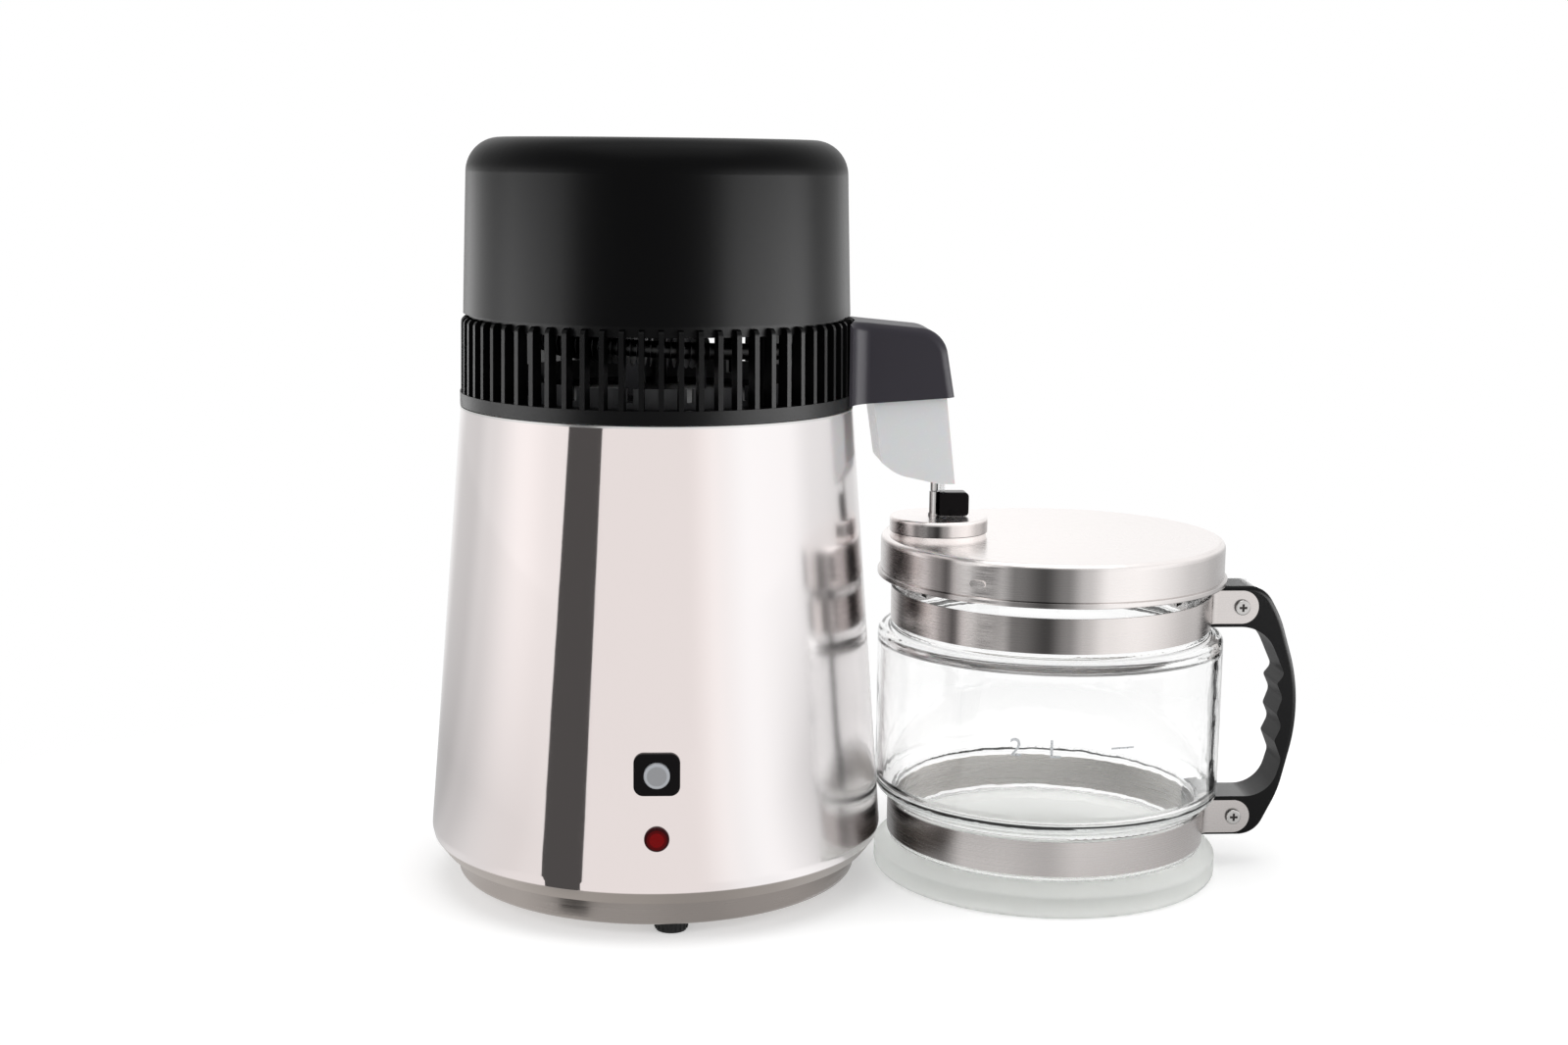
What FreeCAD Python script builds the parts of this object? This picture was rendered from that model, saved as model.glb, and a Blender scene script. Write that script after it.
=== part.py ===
import FreeCAD, Part
import math
import os

# Countertop water distiller: a steel boiler, a lift-off fan and condenser head, and a glass jug
# Lengths are millimetres and angles degrees; Z is up, the floor is Z = 0
# The boiler axis is the origin; the spout points to +X and the front panel to -Y

# Shared clearances and overruns
fit_gap = 0.2
running_gap = 0.05
cut_overrun = 2.0

# Feet and base pan
foot_height = 5.0
foot_radius = 8.0
foot_toe_radius = 7.2
foot_edge_inset = 10.6
foot_count = 3
foot_angle = -86.5
foot_screw_radius = 2.0
foot_screw_head_radius = 3.6
foot_screw_head_height = 2.0
foot_screw_inset = 0.6
foot_screw_grip = 6.0
pan_height = 13.5
pan_wall = 0.8
pan_draft = 1.0
pan_hem_inset = 6.4
pan_edge_round = 3.0
pan_flange_inset = 2.2
pan_vent_count = 16
pan_vent_width = 4.0
pan_vent_inner_radius = 28.0
pan_vent_tie_gap = 17.0

# Outer shell
shell_wall = 1.0
shell_height = 221.5
shell_hem_inset = 5.9
shell_hem_height = 6.5
shell_crease_inset = 0.9
shell_foot_radius = 114.1
shell_foot_height = 10.5
shell_foot_round = 6.0
shell_taper = 16.8

# Boiling tank and what hangs under it
tank_wall = 1.0
tank_side_gap = 10.3
tank_corner_round = 6.0
tank_floor_height = 52.0
spreader_edge_inset = 21.0
spreader_thickness = 4.0
heater_edge_inset = 16.0
heater_width = 8.0
heater_depth = 7.0
heater_gap_angle = 50.0
heater_pin_radius = 1.6
heater_pin_length = 9.0
tie_rod_radius = 2.0
tie_edge_inset = 14.0
tie_count = 3
tie_turn = -30.0
tie_nut_width = 7.0
tie_nut_height = 3.2
thermostat_radius = 8.0
thermostat_height = 9.0
thermostat_tag_width = 6.3
thermostat_tag_length = 7.0
strap_half_length = 20.0
strap_width = 12.0
strap_thickness = 1.0
strap_foot_length = 9.0
strap_screw_radius = 1.5
strap_screw_head_radius = 3.0
strap_screw_head_height = 1.8
strap_screw_bite = 3.0

# Front panel, turned a little from straight ahead
panel_turn = -0.9
bezel_z = 81.5
bezel_width = 21.6
bezel_height = 20.2
bezel_corner_round = 4.6
bezel_stand = 1.6
bezel_neck_width = 17.6
bezel_neck_height = 16.4
bezel_neck_round = 2.0
bezel_neck_depth = 12.0
button_radius = 6.1
button_stand = 2.2
button_round = 0.8
button_flange_radius = 7.2
button_flange_thickness = 1.2
button_travel = 3.0
button_stem_radius = 3.0
button_stem_length = 3.0
switch_width = 19.0
switch_depth = 6.6
switch_leg_width = 1.8
switch_hole_depth = 4.8
lamp_z = 51.3
lamp_radius = 5.9
lamp_stand = 2.4
lamp_round = 1.6
lamp_neck_radius = 4.4
lamp_neck_depth = 4.0
lamp_body_depth = 12.0

# Mains inlet at the back
inlet_z = 50.0
inlet_flange_width = 50.0
inlet_flange_height = 23.0
inlet_flange_round = 4.0
inlet_stand = 2.2
inlet_body_width = 28.0
inlet_body_height = 20.4
inlet_body_round = 2.0
inlet_body_depth = 19.0
inlet_cavity_width = 24.4
inlet_cavity_height = 16.4
inlet_cavity_depth = 16.0
inlet_cavity_bevel = 5.2
inlet_pin_width = 2.0
inlet_pin_height = 4.0
inlet_pin_length = 13.0
inlet_pin_spacing = 14.0
inlet_line_rise = 3.0
inlet_earth_drop = 1.0
inlet_screw_spacing = 40.0
inlet_screw_radius = 1.5
inlet_screw_head_radius = 2.9
inlet_screw_head_height = 1.6
inlet_screw_grip = 8.0

# Head: seat, plate and slat ring
gasket_tank_gap = 0.6
gasket_width = 7.0
gasket_height = 2.0
plate_lip = 0.4
plate_thickness = 1.0
plate_screw_count = 4
plate_screw_turn = 20.0
plate_screw_edge_inset = 13.0
plate_screw_radius = 1.5
plate_screw_head_radius = 2.9
plate_screw_head_height = 1.6
plate_screw_bite = 5.0
rim_lift = 0.5
rim_height = 6.5
rim_stand = 0.1
rim_wall = 2.1
ring_floor_thickness = 3.0
ring_floor_width = 21.4
slat_count = 66
slat_turn = -89.8
slat_width = 2.4
slat_depth = 6.9
slat_foot_inset = 0.5
slat_top_inset = 1.0
slat_height = 36.7
slat_top_round = 3.0
upper_ring_inner_inset = 7.3
upper_ring_outer_inset = 3.9
upper_ring_height = 11.0
upper_ring_drop = 3.7
tower_count = 3
tower_turn = -56.0
tower_edge_gap = 3.6
tower_radius = 3.3
cover_screw_radius = 1.5
cover_screw_head_radius = 2.6
cover_screw_head_height = 2.0
cover_screw_bite = 10.0
baffle_floor_inset = 1.0
baffle_wall = 3.0
baffle_height = 9.5
baffle_notch_count = 18
baffle_notch_width = 3.0
baffle_base_height = 3.0

# Top cover
cover_gap = 1.6
cover_foot_inset = 1.0
cover_draft = 2.5
cover_height = 84.7
cover_wall = 2.5
cover_round = 17.0
boss_radius = 4.0

# Condenser coil and its steam riser
coil_floor_gap = 21.0
coil_tube_radius = 4.0
coil_bore_radius = 3.2
coil_pitch = 17.0
coil_half_turns = 7
coil_rise = 24.0
riser_offset = 41.0
riser_bend_radius = 16.0
outlet_turn_radius = 26.0
outlet_bend_radius = 12.0
outlet_bend_back = 16.0
outlet_run = 28.111
outlet_run_fall = 2.0
outlet_end_drop = 14.0

# Fan and motor
stand_height = 52.0
stand_top_radius = 26.0
stand_leg_count = 3
stand_leg_width = 12.0
stand_leg_circle_radius = 24.0
stand_sheet = 2.0
stand_foot_length = 12.0
stand_screw_radius = 1.6
stand_screw_head_radius = 3.0
stand_screw_head_height = 1.8
stator_width = 52.0
stator_front = 22.0
stator_back = 36.0
stator_thickness = 16.0
stator_lift = 4.0
stator_bore_radius = 13.6
stator_limb_width = 14.0
stator_window_start = 18.0
stator_window_depth = 12.0
stator_window_width = 12.0
stator_corner_round = 3.0
winding_margin = 0.3
bridge_width = 12.0
bridge_sheet = 2.0
bridge_rise = 8.0
bridge_bush_radius = 5.0
bridge_bush_height = 4.0
rotor_radius = 13.2
shaft_radius = 2.0
shaft_tail = 4.0
fan_tip_gap = 10.0
fan_blade_count = 5
fan_blade_width = 30.0
fan_blade_thickness = 1.2
fan_blade_pitch = 24.0
fan_hub_radius = 13.0
fan_hub_height = 14.0
fan_rise = 24.0
fan_shaft_stick = 2.0

# Fan socket at the back of the head
socket_width = 25.0
socket_depth = 16.0
socket_cavity_width = 19.0
socket_cavity_height = 9.0
socket_cavity_depth = 11.5
socket_pin_radius = 1.2
socket_pin_spacing = 9.0
socket_pin_length = 9.5
opening_post_width = 3.0

# Spout arm
arm_half_width = 21.5
arm_wall = 2.2
arm_saddle_thickness = 1.3
arm_saddle_angle = 17.6
arm_fillet_radius = 10.0
arm_low_rise = 1.9
arm_bottom_rise = 4.7
arm_end_overhang = 6.5
arm_end_lean = 5.7
arm_top_fall = 5.7
arm_top_rise = 0.6
arm_corner_round = 15.0
arm_edge_round = 4.5
arm_root_depth = 17.3
collar_half_width = 15.4
collar_low_gap = 1.0
collar_high_gap = 1.0
collar_wall = 1.6
collar_slat_inset = 1.1
collar_overlap = 2.9
partition_gap = 3.1
partition_height = 9.4

# Spout insert and outlet
insert_side_gap = 0.3
insert_wall = 1.6
insert_top_rise = 11.4
insert_neck_gap = 1.0
insert_neck_drop = 3.2
insert_top_lead = 1.2
insert_heel_back = 29.4
insert_heel_rise = 10.8
insert_heel_round = 1.5
insert_belly_back = 21.5
insert_belly_rise = 4.7
insert_belly_round = 22.0
insert_floor_back = 0.5
insert_floor_round = 30.0
insert_drop = 43.5
insert_toe_lead = 7.6
shelf_rise = 12.9
shelf_thickness = 1.5
shelf_hole_radius = 1.6
shelf_hole_step = 6.0
pod_radius = 13.0
pod_height = 12.0
pod_back = 13.0
pod_round = 4.0
spout_reach = 25.9
outlet_radius = 1.95
outlet_bore_radius = 1.3
outlet_drop = 6.0
outlet_rise = 7.0
vent_offset = 3.9
vent_radius = 1.5
vent_bore_radius = 0.9
vent_rise = 5.0
drip_gap = 0.4

# Jug glass
jug_tuck = 1.0
glass_punt_height = 3.0
glass_punt_inset = 26.1
glass_ring_width = 4.0
glass_foot_stand = 0.1
glass_foot_chamfer = 3.5
glass_foot_height = 11.5
glass_radius = 88.0
glass_channel_depth = 7.6
glass_wall = 3.6
glass_floor_z = 14.0
glass_lower_channel_z = 17.4
glass_lower_channel_top_z = 38.8
glass_body_low_z = 43.8
glass_shoulder_height = 2.0
glass_neck_height = 43.2
glass_mouth_gap = 3.5
glass_body_round = 4.0
glass_channel_round = 2.0
glass_inner_round = 6.0
lug_count = 3
lug_turn = -41.0
lug_span = 22.0
lug_depth = 3.0
lug_mouth_drop = 21.4
lug_height = 4.4

# Steel bands and handle
band_stand = 1.1
band_thickness = 0.8
band_height = 17.2
upper_band_rise = 2.4
lower_band_rise = 2.2
ear_reach = 15.3
ear_bend_round = 4.0
handle_half_thickness = 12.5
handle_edge_share = 0.0187
handle_end_height = 21.0
handle_reach = 31.3
handle_outer_shares = [
    (0.850, 1.000, 0.110), (0.922, 0.876, 0.449), (1.000, 0.627, 0.748),
    (1.000, 0.426, 0.748), (0.942, 0.179, 0.449), (0.851, 0.000, 0.105),
]
handle_grip_depth = 7.7
handle_grip_shares = [
    (0.910, 1.000, 0.218), (1.004, 0.720, 0.043), (0.972, 0.665, 0.022), (1.000, 0.583, 0.066),
    (0.976, 0.490, 0.028), (1.001, 0.414, 0.066), (0.972, 0.328, 0.022), (1.006, 0.216, 0.066),
    (0.961, 0.000, 0.186),
]
handle_screw_radius = 2.0
handle_screw_head_radius = 4.0
handle_screw_head_height = 2.0
handle_recess_width = 1.2
handle_recess_depth = 1.2
handle_nut_width = 7.0
handle_nut_height = 3.2

# Jug lid
post_stand = 12.3
lid_wall = 0.8
lid_overhang = 6.8
lid_top_round = 3.2
lid_bead_stand = 1.5
lid_bead_height = 3.0
lid_height = 20.9
pip_count = 3
pip_turn = -124.6
pip_rise = 9.2
pip_length = 8.0
pip_width = 3.6
pip_height = 0.7
lid_gasket_inset = 5.0
lid_gasket_overhang = 3.6

# Inlet disc, valve post and tab
disc_offset = 2.5
disc_radius = 24.8
disc_height = 7.5
disc_seat_radius = 24.3
disc_seat_height = 2.0
disc_wall = 1.0
disc_round = 1.2
disc_seal_radius = 23.4
disc_seal_inner_radius = 17.0
disc_seal_height = 0.4
post_radius = 2.4
post_bore_radius = 1.5
post_tail = 3.0
post_collar_radius = 2.9
post_collar_height = 1.2
clip_radius = 4.2
clip_height = 0.8
tab_root_offset = 2.2
tab_reach = 17.2
tab_half_thickness = 5.0
tab_drop = 0.3
tab_corner_round = 2.4
tab_foot_round = 1.8
tab_edge_round = 1.0

# Sizes that the values above set: boiler
shell_crease_radius = shell_foot_radius - shell_crease_inset
shell_hem_radius = shell_foot_radius - shell_hem_inset
shell_top_radius = shell_foot_radius - shell_taper
shell_base_z = foot_height + pan_height
shell_top_z = shell_base_z + shell_height
pan_top_radius = shell_hem_radius - pan_hem_inset
pan_foot_radius = pan_top_radius - pan_draft
pan_flange_radius = shell_hem_radius - pan_flange_inset
foot_circle_radius = pan_foot_radius - foot_edge_inset
tank_radius = shell_top_radius - tank_side_gap
tank_rim_z = shell_top_z + tank_wall
tie_circle_radius = tank_radius - tie_edge_inset
pan_vent_outer_radius = tie_circle_radius - pan_vent_tie_gap
spreader_radius = tank_radius - spreader_edge_inset
heater_ring_radius = spreader_radius - heater_edge_inset

# Sizes that the values above set: head
gasket_inner_radius = tank_radius + gasket_tank_gap
gasket_outer_radius = gasket_inner_radius + gasket_width
gasket_top_z = tank_rim_z + gasket_height
plate_radius = gasket_outer_radius + plate_lip
plate_screw_circle_radius = plate_radius - plate_screw_edge_inset
rim_radius = shell_top_radius + rim_stand
ring_outer_radius = rim_radius + fit_gap
ring_floor_inner_radius = rim_radius - ring_floor_width
ring_floor_z = gasket_top_z + plate_thickness
ring_deck_z = ring_floor_z + ring_floor_thickness
rim_low_z = tank_rim_z + rim_lift
rim_top_z = rim_low_z + rim_height
slat_inner_radius = rim_radius - slat_depth
slat_foot_radius = rim_radius - slat_foot_inset
slat_top_radius = rim_radius - slat_top_inset
slat_top_z = rim_top_z + slat_height
upper_ring_inner_radius = slat_inner_radius - upper_ring_inner_inset
upper_ring_radius = slat_top_radius - upper_ring_outer_inset
upper_ring_low_z = slat_top_z - upper_ring_drop
upper_ring_top_z = upper_ring_low_z + upper_ring_height
tower_circle_radius = upper_ring_inner_radius + tower_edge_gap
baffle_inner_radius = ring_floor_inner_radius + baffle_floor_inset
baffle_radius = baffle_inner_radius + baffle_wall
cover_foot_radius = slat_top_radius - cover_foot_inset
cover_shoulder_radius = cover_foot_radius - cover_draft
cover_low_z = slat_top_z + cover_gap
cover_top_z = cover_low_z + cover_height
coil_radius = ring_floor_inner_radius - coil_floor_gap
coil_low_z = ring_deck_z + coil_rise
fan_radius = ring_floor_inner_radius - fan_tip_gap
bridge_top_z = ring_floor_z + stand_height + stator_lift + stator_thickness + bridge_rise
fan_mid_z = bridge_top_z + fan_rise

# Sizes that the values above set: spout arm and insert
outlet_x = shell_foot_radius + spout_reach
outlet_bend_x = outlet_x - outlet_bend_back
coil_end_turn = -math.degrees(math.acos(coil_radius / (outlet_bend_x - outlet_run)))
arm_root_x = shell_top_radius - arm_root_depth
arm_low_z = shell_top_z + arm_low_rise
arm_end_low_x = outlet_x + arm_end_overhang
arm_end_low_z = arm_low_z + arm_bottom_rise
arm_end_high_x = arm_end_low_x - arm_end_lean
arm_top_z = slat_top_z + arm_top_rise
arm_end_high_z = arm_top_z - arm_top_fall
collar_low_z = rim_top_z + collar_low_gap
collar_high_z = upper_ring_low_z - collar_high_gap
collar_reach = slat_inner_radius + collar_slat_inset
collar_end_x = ring_outer_radius + collar_overlap
partition_x = collar_end_x + partition_gap
partition_top_z = arm_end_low_z + partition_height
insert_half_width = arm_half_width - arm_wall - insert_side_gap
insert_top_z = arm_end_low_z + insert_top_rise
insert_top_end_x = outlet_x + insert_top_lead
insert_neck_x = partition_x + collar_wall + insert_neck_gap
insert_neck_z = arm_end_low_z - insert_neck_drop
insert_low_z = arm_end_low_z - insert_drop
insert_low_end_x = outlet_x + insert_toe_lead
insert_low_start_x = outlet_x - insert_heel_back
insert_low_start_z = insert_low_z + insert_heel_rise
insert_belly_x = outlet_x - insert_belly_back
insert_belly_z = insert_low_z + insert_belly_rise
insert_floor_x = outlet_x - insert_floor_back
shelf_z = insert_low_z + shelf_rise
pod_x = outlet_x - pod_back
vent_x = outlet_x + vent_offset
outlet_low_z = insert_low_z - outlet_drop

# Sizes that the values above set: inlet, lid, jug and handle
post_top_z = outlet_low_z - drip_gap
disc_x = outlet_x + disc_offset
disc_top_z = post_top_z - post_stand
disc_low_z = disc_top_z - disc_height
tab_start_x = outlet_x + tab_root_offset
tab_end_x = outlet_x + tab_reach
lid_seat_z = disc_low_z - disc_seal_height
lid_top_z = lid_seat_z - disc_seat_height
lid_low_z = lid_top_z - lid_height
pip_z = lid_low_z + pip_rise
jug_x = shell_foot_radius + glass_radius - jug_tuck
glass_foot_radius = glass_radius + glass_foot_stand
glass_punt_radius = glass_foot_radius - glass_punt_inset
glass_ring_radius = glass_punt_radius + glass_ring_width
glass_channel_radius = glass_radius - glass_channel_depth
glass_mouth_z = lid_top_z - glass_mouth_gap
glass_neck_z = glass_mouth_z - glass_neck_height
glass_body_high_z = glass_neck_z - glass_shoulder_height
lug_radius = glass_channel_radius + lug_depth
lug_low_z = glass_mouth_z - lug_mouth_drop
lid_radius = glass_channel_radius + lid_overhang
lid_bead_radius = lid_radius + lid_bead_stand
lid_gasket_radius = glass_channel_radius + lid_gasket_overhang
lid_gasket_inner_radius = glass_channel_radius - lid_gasket_inset
band_radius = glass_channel_radius + band_stand
upper_band_z = glass_neck_z + upper_band_rise
lower_band_z = glass_lower_channel_z + lower_band_rise
ear_front = handle_half_thickness + band_thickness
ear_root_offset = math.sqrt(band_radius ** 2 - ear_front ** 2)
ear_screw_offset = band_radius + ear_reach
handle_outer_offset = ear_screw_offset + handle_reach
handle_grip_offset = handle_outer_offset - handle_grip_depth

UP = FreeCAD.Vector(0, 0, 1)
ORIGIN = FreeCAD.Vector(0, 0, 0)
FULL_TURN = 360.0
HEX_SIDES = 6


def vec(x, y, z):
    """A FreeCAD vector from three lengths."""
    return FreeCAD.Vector(x, y, z)


def on_xy(z):
    """Places outline points (x, y) at one height."""
    return lambda a, b: vec(a, b, z)


def on_xz(y):
    """Places outline points (x, z) on an upright plane across Y."""
    return lambda a, b: vec(a, y, b)


def rounded_wire(corners, place):
    """Closed wire through corners (a, b, radius), with a tangent arc at each rounded corner."""
    spans = []
    for index, (a, b, radius) in enumerate(corners):
        here = place(a, b)
        before = place(*corners[index - 1][:2])
        after = place(*corners[(index + 1) % len(corners)][:2])
        if radius == 0:
            spans.append((here, None, here))
            continue
        to_before = (before - here).normalize()
        to_after = (after - here).normalize()
        half = to_before.getAngle(to_after) / 2
        trim = radius / math.tan(half)
        inward = (to_before + to_after).normalize()
        middle = here + inward * (radius / math.sin(half) - radius)
        spans.append((here + to_before * trim, middle, here + to_after * trim))
    edges = []
    for index, (start, middle, end) in enumerate(spans):
        if middle is not None:
            edges.append(Part.Arc(start, middle, end).toShape())
        next_start = spans[(index + 1) % len(spans)][0]
        if end.distanceToPoint(next_start) > Part.Precision.confusion():
            edges.append(Part.LineSegment(end, next_start).toShape())
    return Part.Wire(edges)


def lathe(corners):
    """Solid turned about the Z axis from an outline of (radius, z, corner radius)."""
    face = Part.Face(rounded_wire(corners, on_xz(0)))
    return face.revolve(ORIGIN, UP, FULL_TURN)


def upright(corners, low, high):
    """Prism of a plan outline (x, y, corner radius) between two heights."""
    return Part.Face(rounded_wire(corners, on_xy(low))).extrude(vec(0, 0, high - low))


def across(corners, half_width):
    """Prism of a side outline (x, z, corner radius), as wide on each side of Y = 0."""
    face = Part.Face(rounded_wire(corners, on_xz(-half_width)))
    return face.extrude(vec(0, 2 * half_width, 0))


def block(x_low, x_high, y_low, y_high, z_low, z_high):
    """Box between two corners."""
    size = (x_high - x_low, y_high - y_low, z_high - z_low)
    return Part.makeBox(*size, vec(x_low, y_low, z_low))


def drum(radius, low, high, x=0, y=0):
    """Upright cylinder between two heights."""
    return Part.makeCylinder(radius, high - low, vec(x, y, low))


def hoop(radius, inner_radius, low, high, x=0, y=0):
    """Upright tube between two heights."""
    hole = drum(inner_radius, low - cut_overrun, high + cut_overrun, x, y)
    return drum(radius, low, high, x, y).cut(hole)


def rod_y(radius, y_low, y_high, x, z):
    """Cylinder lying along Y."""
    return Part.makeCylinder(radius, y_high - y_low, vec(x, y_low, z), vec(0, 1, 0))


def hexagon(width, low, high, x, y):
    """Upright hexagonal prism by its width across flats."""
    corner = width / 2 / math.cos(math.pi / HEX_SIDES)
    corners = []
    for step in range(HEX_SIDES):
        angle = math.radians(step * FULL_TURN / HEX_SIDES)
        corners.append((x + corner * math.cos(angle), y + corner * math.sin(angle), 0))
    return upright(corners, low, high)


def turned(shape, angle, x=0, y=0):
    """Copy of a shape turned about an upright axis."""
    return shape.copy().rotate(vec(x, y, 0), UP, angle)


def moved(shape, x, y, z):
    """Copy of a shape moved by a vector."""
    return shape.copy().translate(vec(x, y, z))


def around(shape, count, first_turn=0.0):
    """Copies of a shape, evenly spaced about the boiler axis."""
    return [turned(shape, first_turn + index * FULL_TURN / count) for index in range(count)]


def fused(shapes):
    """One solid from shapes that overlap."""
    return shapes[0].multiFuse(shapes[1:]).removeSplitter()


def taper_radius(z):
    """Outer radius of the shell's straight taper at a height."""
    foot_z = shell_base_z + shell_foot_height
    share = (z - foot_z) / (shell_top_z - foot_z)
    return shell_foot_radius + (shell_top_radius - shell_foot_radius) * share


def rounded_plate(width, height, corner, y_front, y_back, z):
    """Rounded rectangle facing the front, between two depths."""
    half, rise = width / 2, height / 2
    corners = [(-half, z - rise, corner), (half, z - rise, corner)]
    corners += [(half, z + rise, corner), (-half, z + rise, corner)]
    face = Part.Face(rounded_wire(corners, on_xz(y_front)))
    return face.extrude(vec(0, y_back - y_front, 0))


# Boiler


def shell_outline(inset):
    """Outside of the shell, moved inwards, from its inner hem edge up to its top."""
    base = shell_base_z + inset
    foot_z = shell_base_z + shell_foot_height
    return [
        (shell_hem_radius - inset, base, 0),
        (shell_crease_radius - inset, shell_base_z + shell_hem_height, 0),
        (shell_foot_radius - inset, foot_z, shell_foot_round),
        (shell_top_radius - inset, shell_top_z, 0),
    ]


def shell_filled():
    """The shell's outside as a solid, which pieces on the shell are seated against."""
    return lathe([(0, shell_base_z, 0)] + shell_outline(0) + [(0, shell_top_z, 0)])


def outer_shell():
    """Tapered polished shell, open at the top and hemmed under at the foot."""
    hem_inner = pan_top_radius + fit_gap
    outline = [(hem_inner, shell_base_z, 0)] + shell_outline(0)
    outline += list(reversed(shell_outline(shell_wall))) + [(hem_inner, shell_base_z + shell_wall, 0)]
    shell = lathe(outline)
    neck = rounded_plate(
        bezel_neck_width + 2 * fit_gap, bezel_neck_height + 2 * fit_gap, bezel_neck_round,
        -shell_foot_radius - cut_overrun, -tank_radius, bezel_z,
    )
    lamp = rod_y(lamp_neck_radius + fit_gap, -shell_foot_radius - cut_overrun, -tank_radius, 0, lamp_z)
    front_cuts = [turned(neck, panel_turn), turned(lamp, panel_turn)]
    body = rounded_plate(
        inlet_body_width + 2 * fit_gap, inlet_body_height + 2 * fit_gap, inlet_body_round,
        -shell_foot_radius - cut_overrun, -tank_radius, inlet_z,
    )
    back_cuts = [body]
    for x in (-inlet_screw_spacing / 2, inlet_screw_spacing / 2):
        hole = rod_y(inlet_screw_radius + running_gap, -shell_foot_radius, -tank_radius, x, inlet_z)
        back_cuts.append(hole)
    return shell.cut(front_cuts + [turned(cut, FULL_TURN / 2) for cut in back_cuts])


def pan_hole(radius, circle_radius):
    """Cutter for one screw hole through the pan's floor."""
    return drum(radius, foot_height - cut_overrun, foot_height + pan_wall + cut_overrun, circle_radius)


def base_pan():
    """Vented steel pan under the boiler; the shell's hem is rolled over its flange."""
    flange_low = shell_base_z + shell_wall
    flange_top = flange_low + pan_wall
    inner_round = pan_edge_round - pan_wall
    pan = lathe([
        (0, foot_height, 0),
        (pan_foot_radius, foot_height, pan_edge_round),
        (pan_top_radius, flange_low, 0),
        (pan_flange_radius, flange_low, 0),
        (pan_flange_radius, flange_top, 0),
        (pan_top_radius - pan_wall, flange_top, 0),
        (pan_foot_radius - pan_wall, foot_height + pan_wall, inner_round),
        (0, foot_height + pan_wall, 0),
    ])
    vent = block(
        pan_vent_inner_radius, pan_vent_outer_radius, -pan_vent_width / 2, pan_vent_width / 2,
        foot_height - cut_overrun, foot_height + pan_wall + cut_overrun,
    )
    cuts = around(vent, pan_vent_count)
    cuts += around(pan_hole(foot_screw_radius + running_gap, foot_circle_radius), foot_count, foot_angle)
    cuts += around(pan_hole(tie_rod_radius + fit_gap, tie_circle_radius), tie_count, tie_turn)
    return pan.cut(cuts)


def rubber_feet():
    """Three tapered rubber feet, each with a recess for its screw."""
    foot = Part.makeCone(foot_toe_radius, foot_radius, foot_height, vec(foot_circle_radius, 0, 0))
    recess_top = foot_screw_inset + foot_screw_head_height
    recess = drum(foot_screw_head_radius + fit_gap, -cut_overrun, recess_top, foot_circle_radius)
    hole = drum(foot_screw_radius + running_gap, -cut_overrun, foot_height + cut_overrun, foot_circle_radius)
    return around(foot.cut([recess, hole]), foot_count, foot_angle)


def foot_screws():
    """Screws up through the feet into the pan."""
    head = drum(foot_screw_head_radius, foot_screw_inset, foot_screw_inset + foot_screw_head_height,
                foot_circle_radius)
    shank = drum(foot_screw_radius, foot_screw_inset, foot_height + foot_screw_grip, foot_circle_radius)
    return around(fused([head, shank]), foot_count, foot_angle)


def boiling_tank():
    """Deep-drawn tank whose flange rests on the shell's top edge."""
    inner = tank_radius - tank_wall
    floor = tank_floor_height
    return lathe([
        (0, floor, 0),
        (tank_radius, floor, tank_corner_round),
        (tank_radius, shell_top_z, 0),
        (shell_top_radius, shell_top_z, 0),
        (shell_top_radius, tank_rim_z, 0),
        (inner, tank_rim_z, 0),
        (inner, floor + tank_wall, tank_corner_round - tank_wall),
        (0, floor + tank_wall, 0),
    ])


def heat_spreader():
    """Aluminium disc brazed under the tank."""
    return drum(spreader_radius, tank_floor_height - spreader_thickness, tank_floor_height)


def heater_ring():
    """Heating element: an open ring under the spreader with two terminal pins."""
    top = tank_floor_height - spreader_thickness
    low = top - heater_depth
    ring = hoop(heater_ring_radius + heater_width / 2, heater_ring_radius - heater_width / 2, low, top)
    reach = heater_ring_radius + heater_width
    half_gap = math.radians(heater_gap_angle / 2)
    spread = reach * math.tan(half_gap)
    corners = [(0, 0, 0), (spread, -reach, 0), (-spread, -reach, 0)]
    ring = ring.cut(upright(corners, low - cut_overrun, top + cut_overrun))
    pin_turn = half_gap + heater_width / 2 / heater_ring_radius
    pieces = [ring]
    for side in (-1, 1):
        x = side * heater_ring_radius * math.sin(pin_turn)
        y = -heater_ring_radius * math.cos(pin_turn)
        pieces.append(drum(heater_pin_radius, low - heater_pin_length, top - heater_depth / 2, x, y))
    return fused(pieces)


def tie_rods():
    """Rods welded under the tank that clamp tank, shell and pan together."""
    rod = drum(tie_rod_radius, foot_height - tie_nut_height, tank_floor_height, tie_circle_radius)
    return around(rod, tie_count, tie_turn)


def tie_nuts():
    """Nuts under the pan, one on each tie rod."""
    nut = hexagon(tie_nut_width, foot_height - tie_nut_height, foot_height, tie_circle_radius, 0)
    bore = drum(tie_rod_radius + running_gap, -cut_overrun, foot_height + cut_overrun, tie_circle_radius)
    return around(nut.cut(bore), tie_count, tie_turn)


def cutoff_thermostat():
    """Disc thermostat against the spreader, with two blade terminals."""
    top = tank_floor_height - spreader_thickness
    low = top - thermostat_height
    pieces = [drum(thermostat_radius, low, top)]
    half = thermostat_tag_width / 2
    for side in (-1, 1):
        inner = side * thermostat_radius / 2
        outer = side * (thermostat_radius + thermostat_tag_length)
        middle = low + thermostat_height / 2
        x_in, x_out = sorted((inner, outer))
        pieces.append(block(x_in, x_out, -half, half, middle, middle + strap_thickness))
    return fused(pieces)


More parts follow.
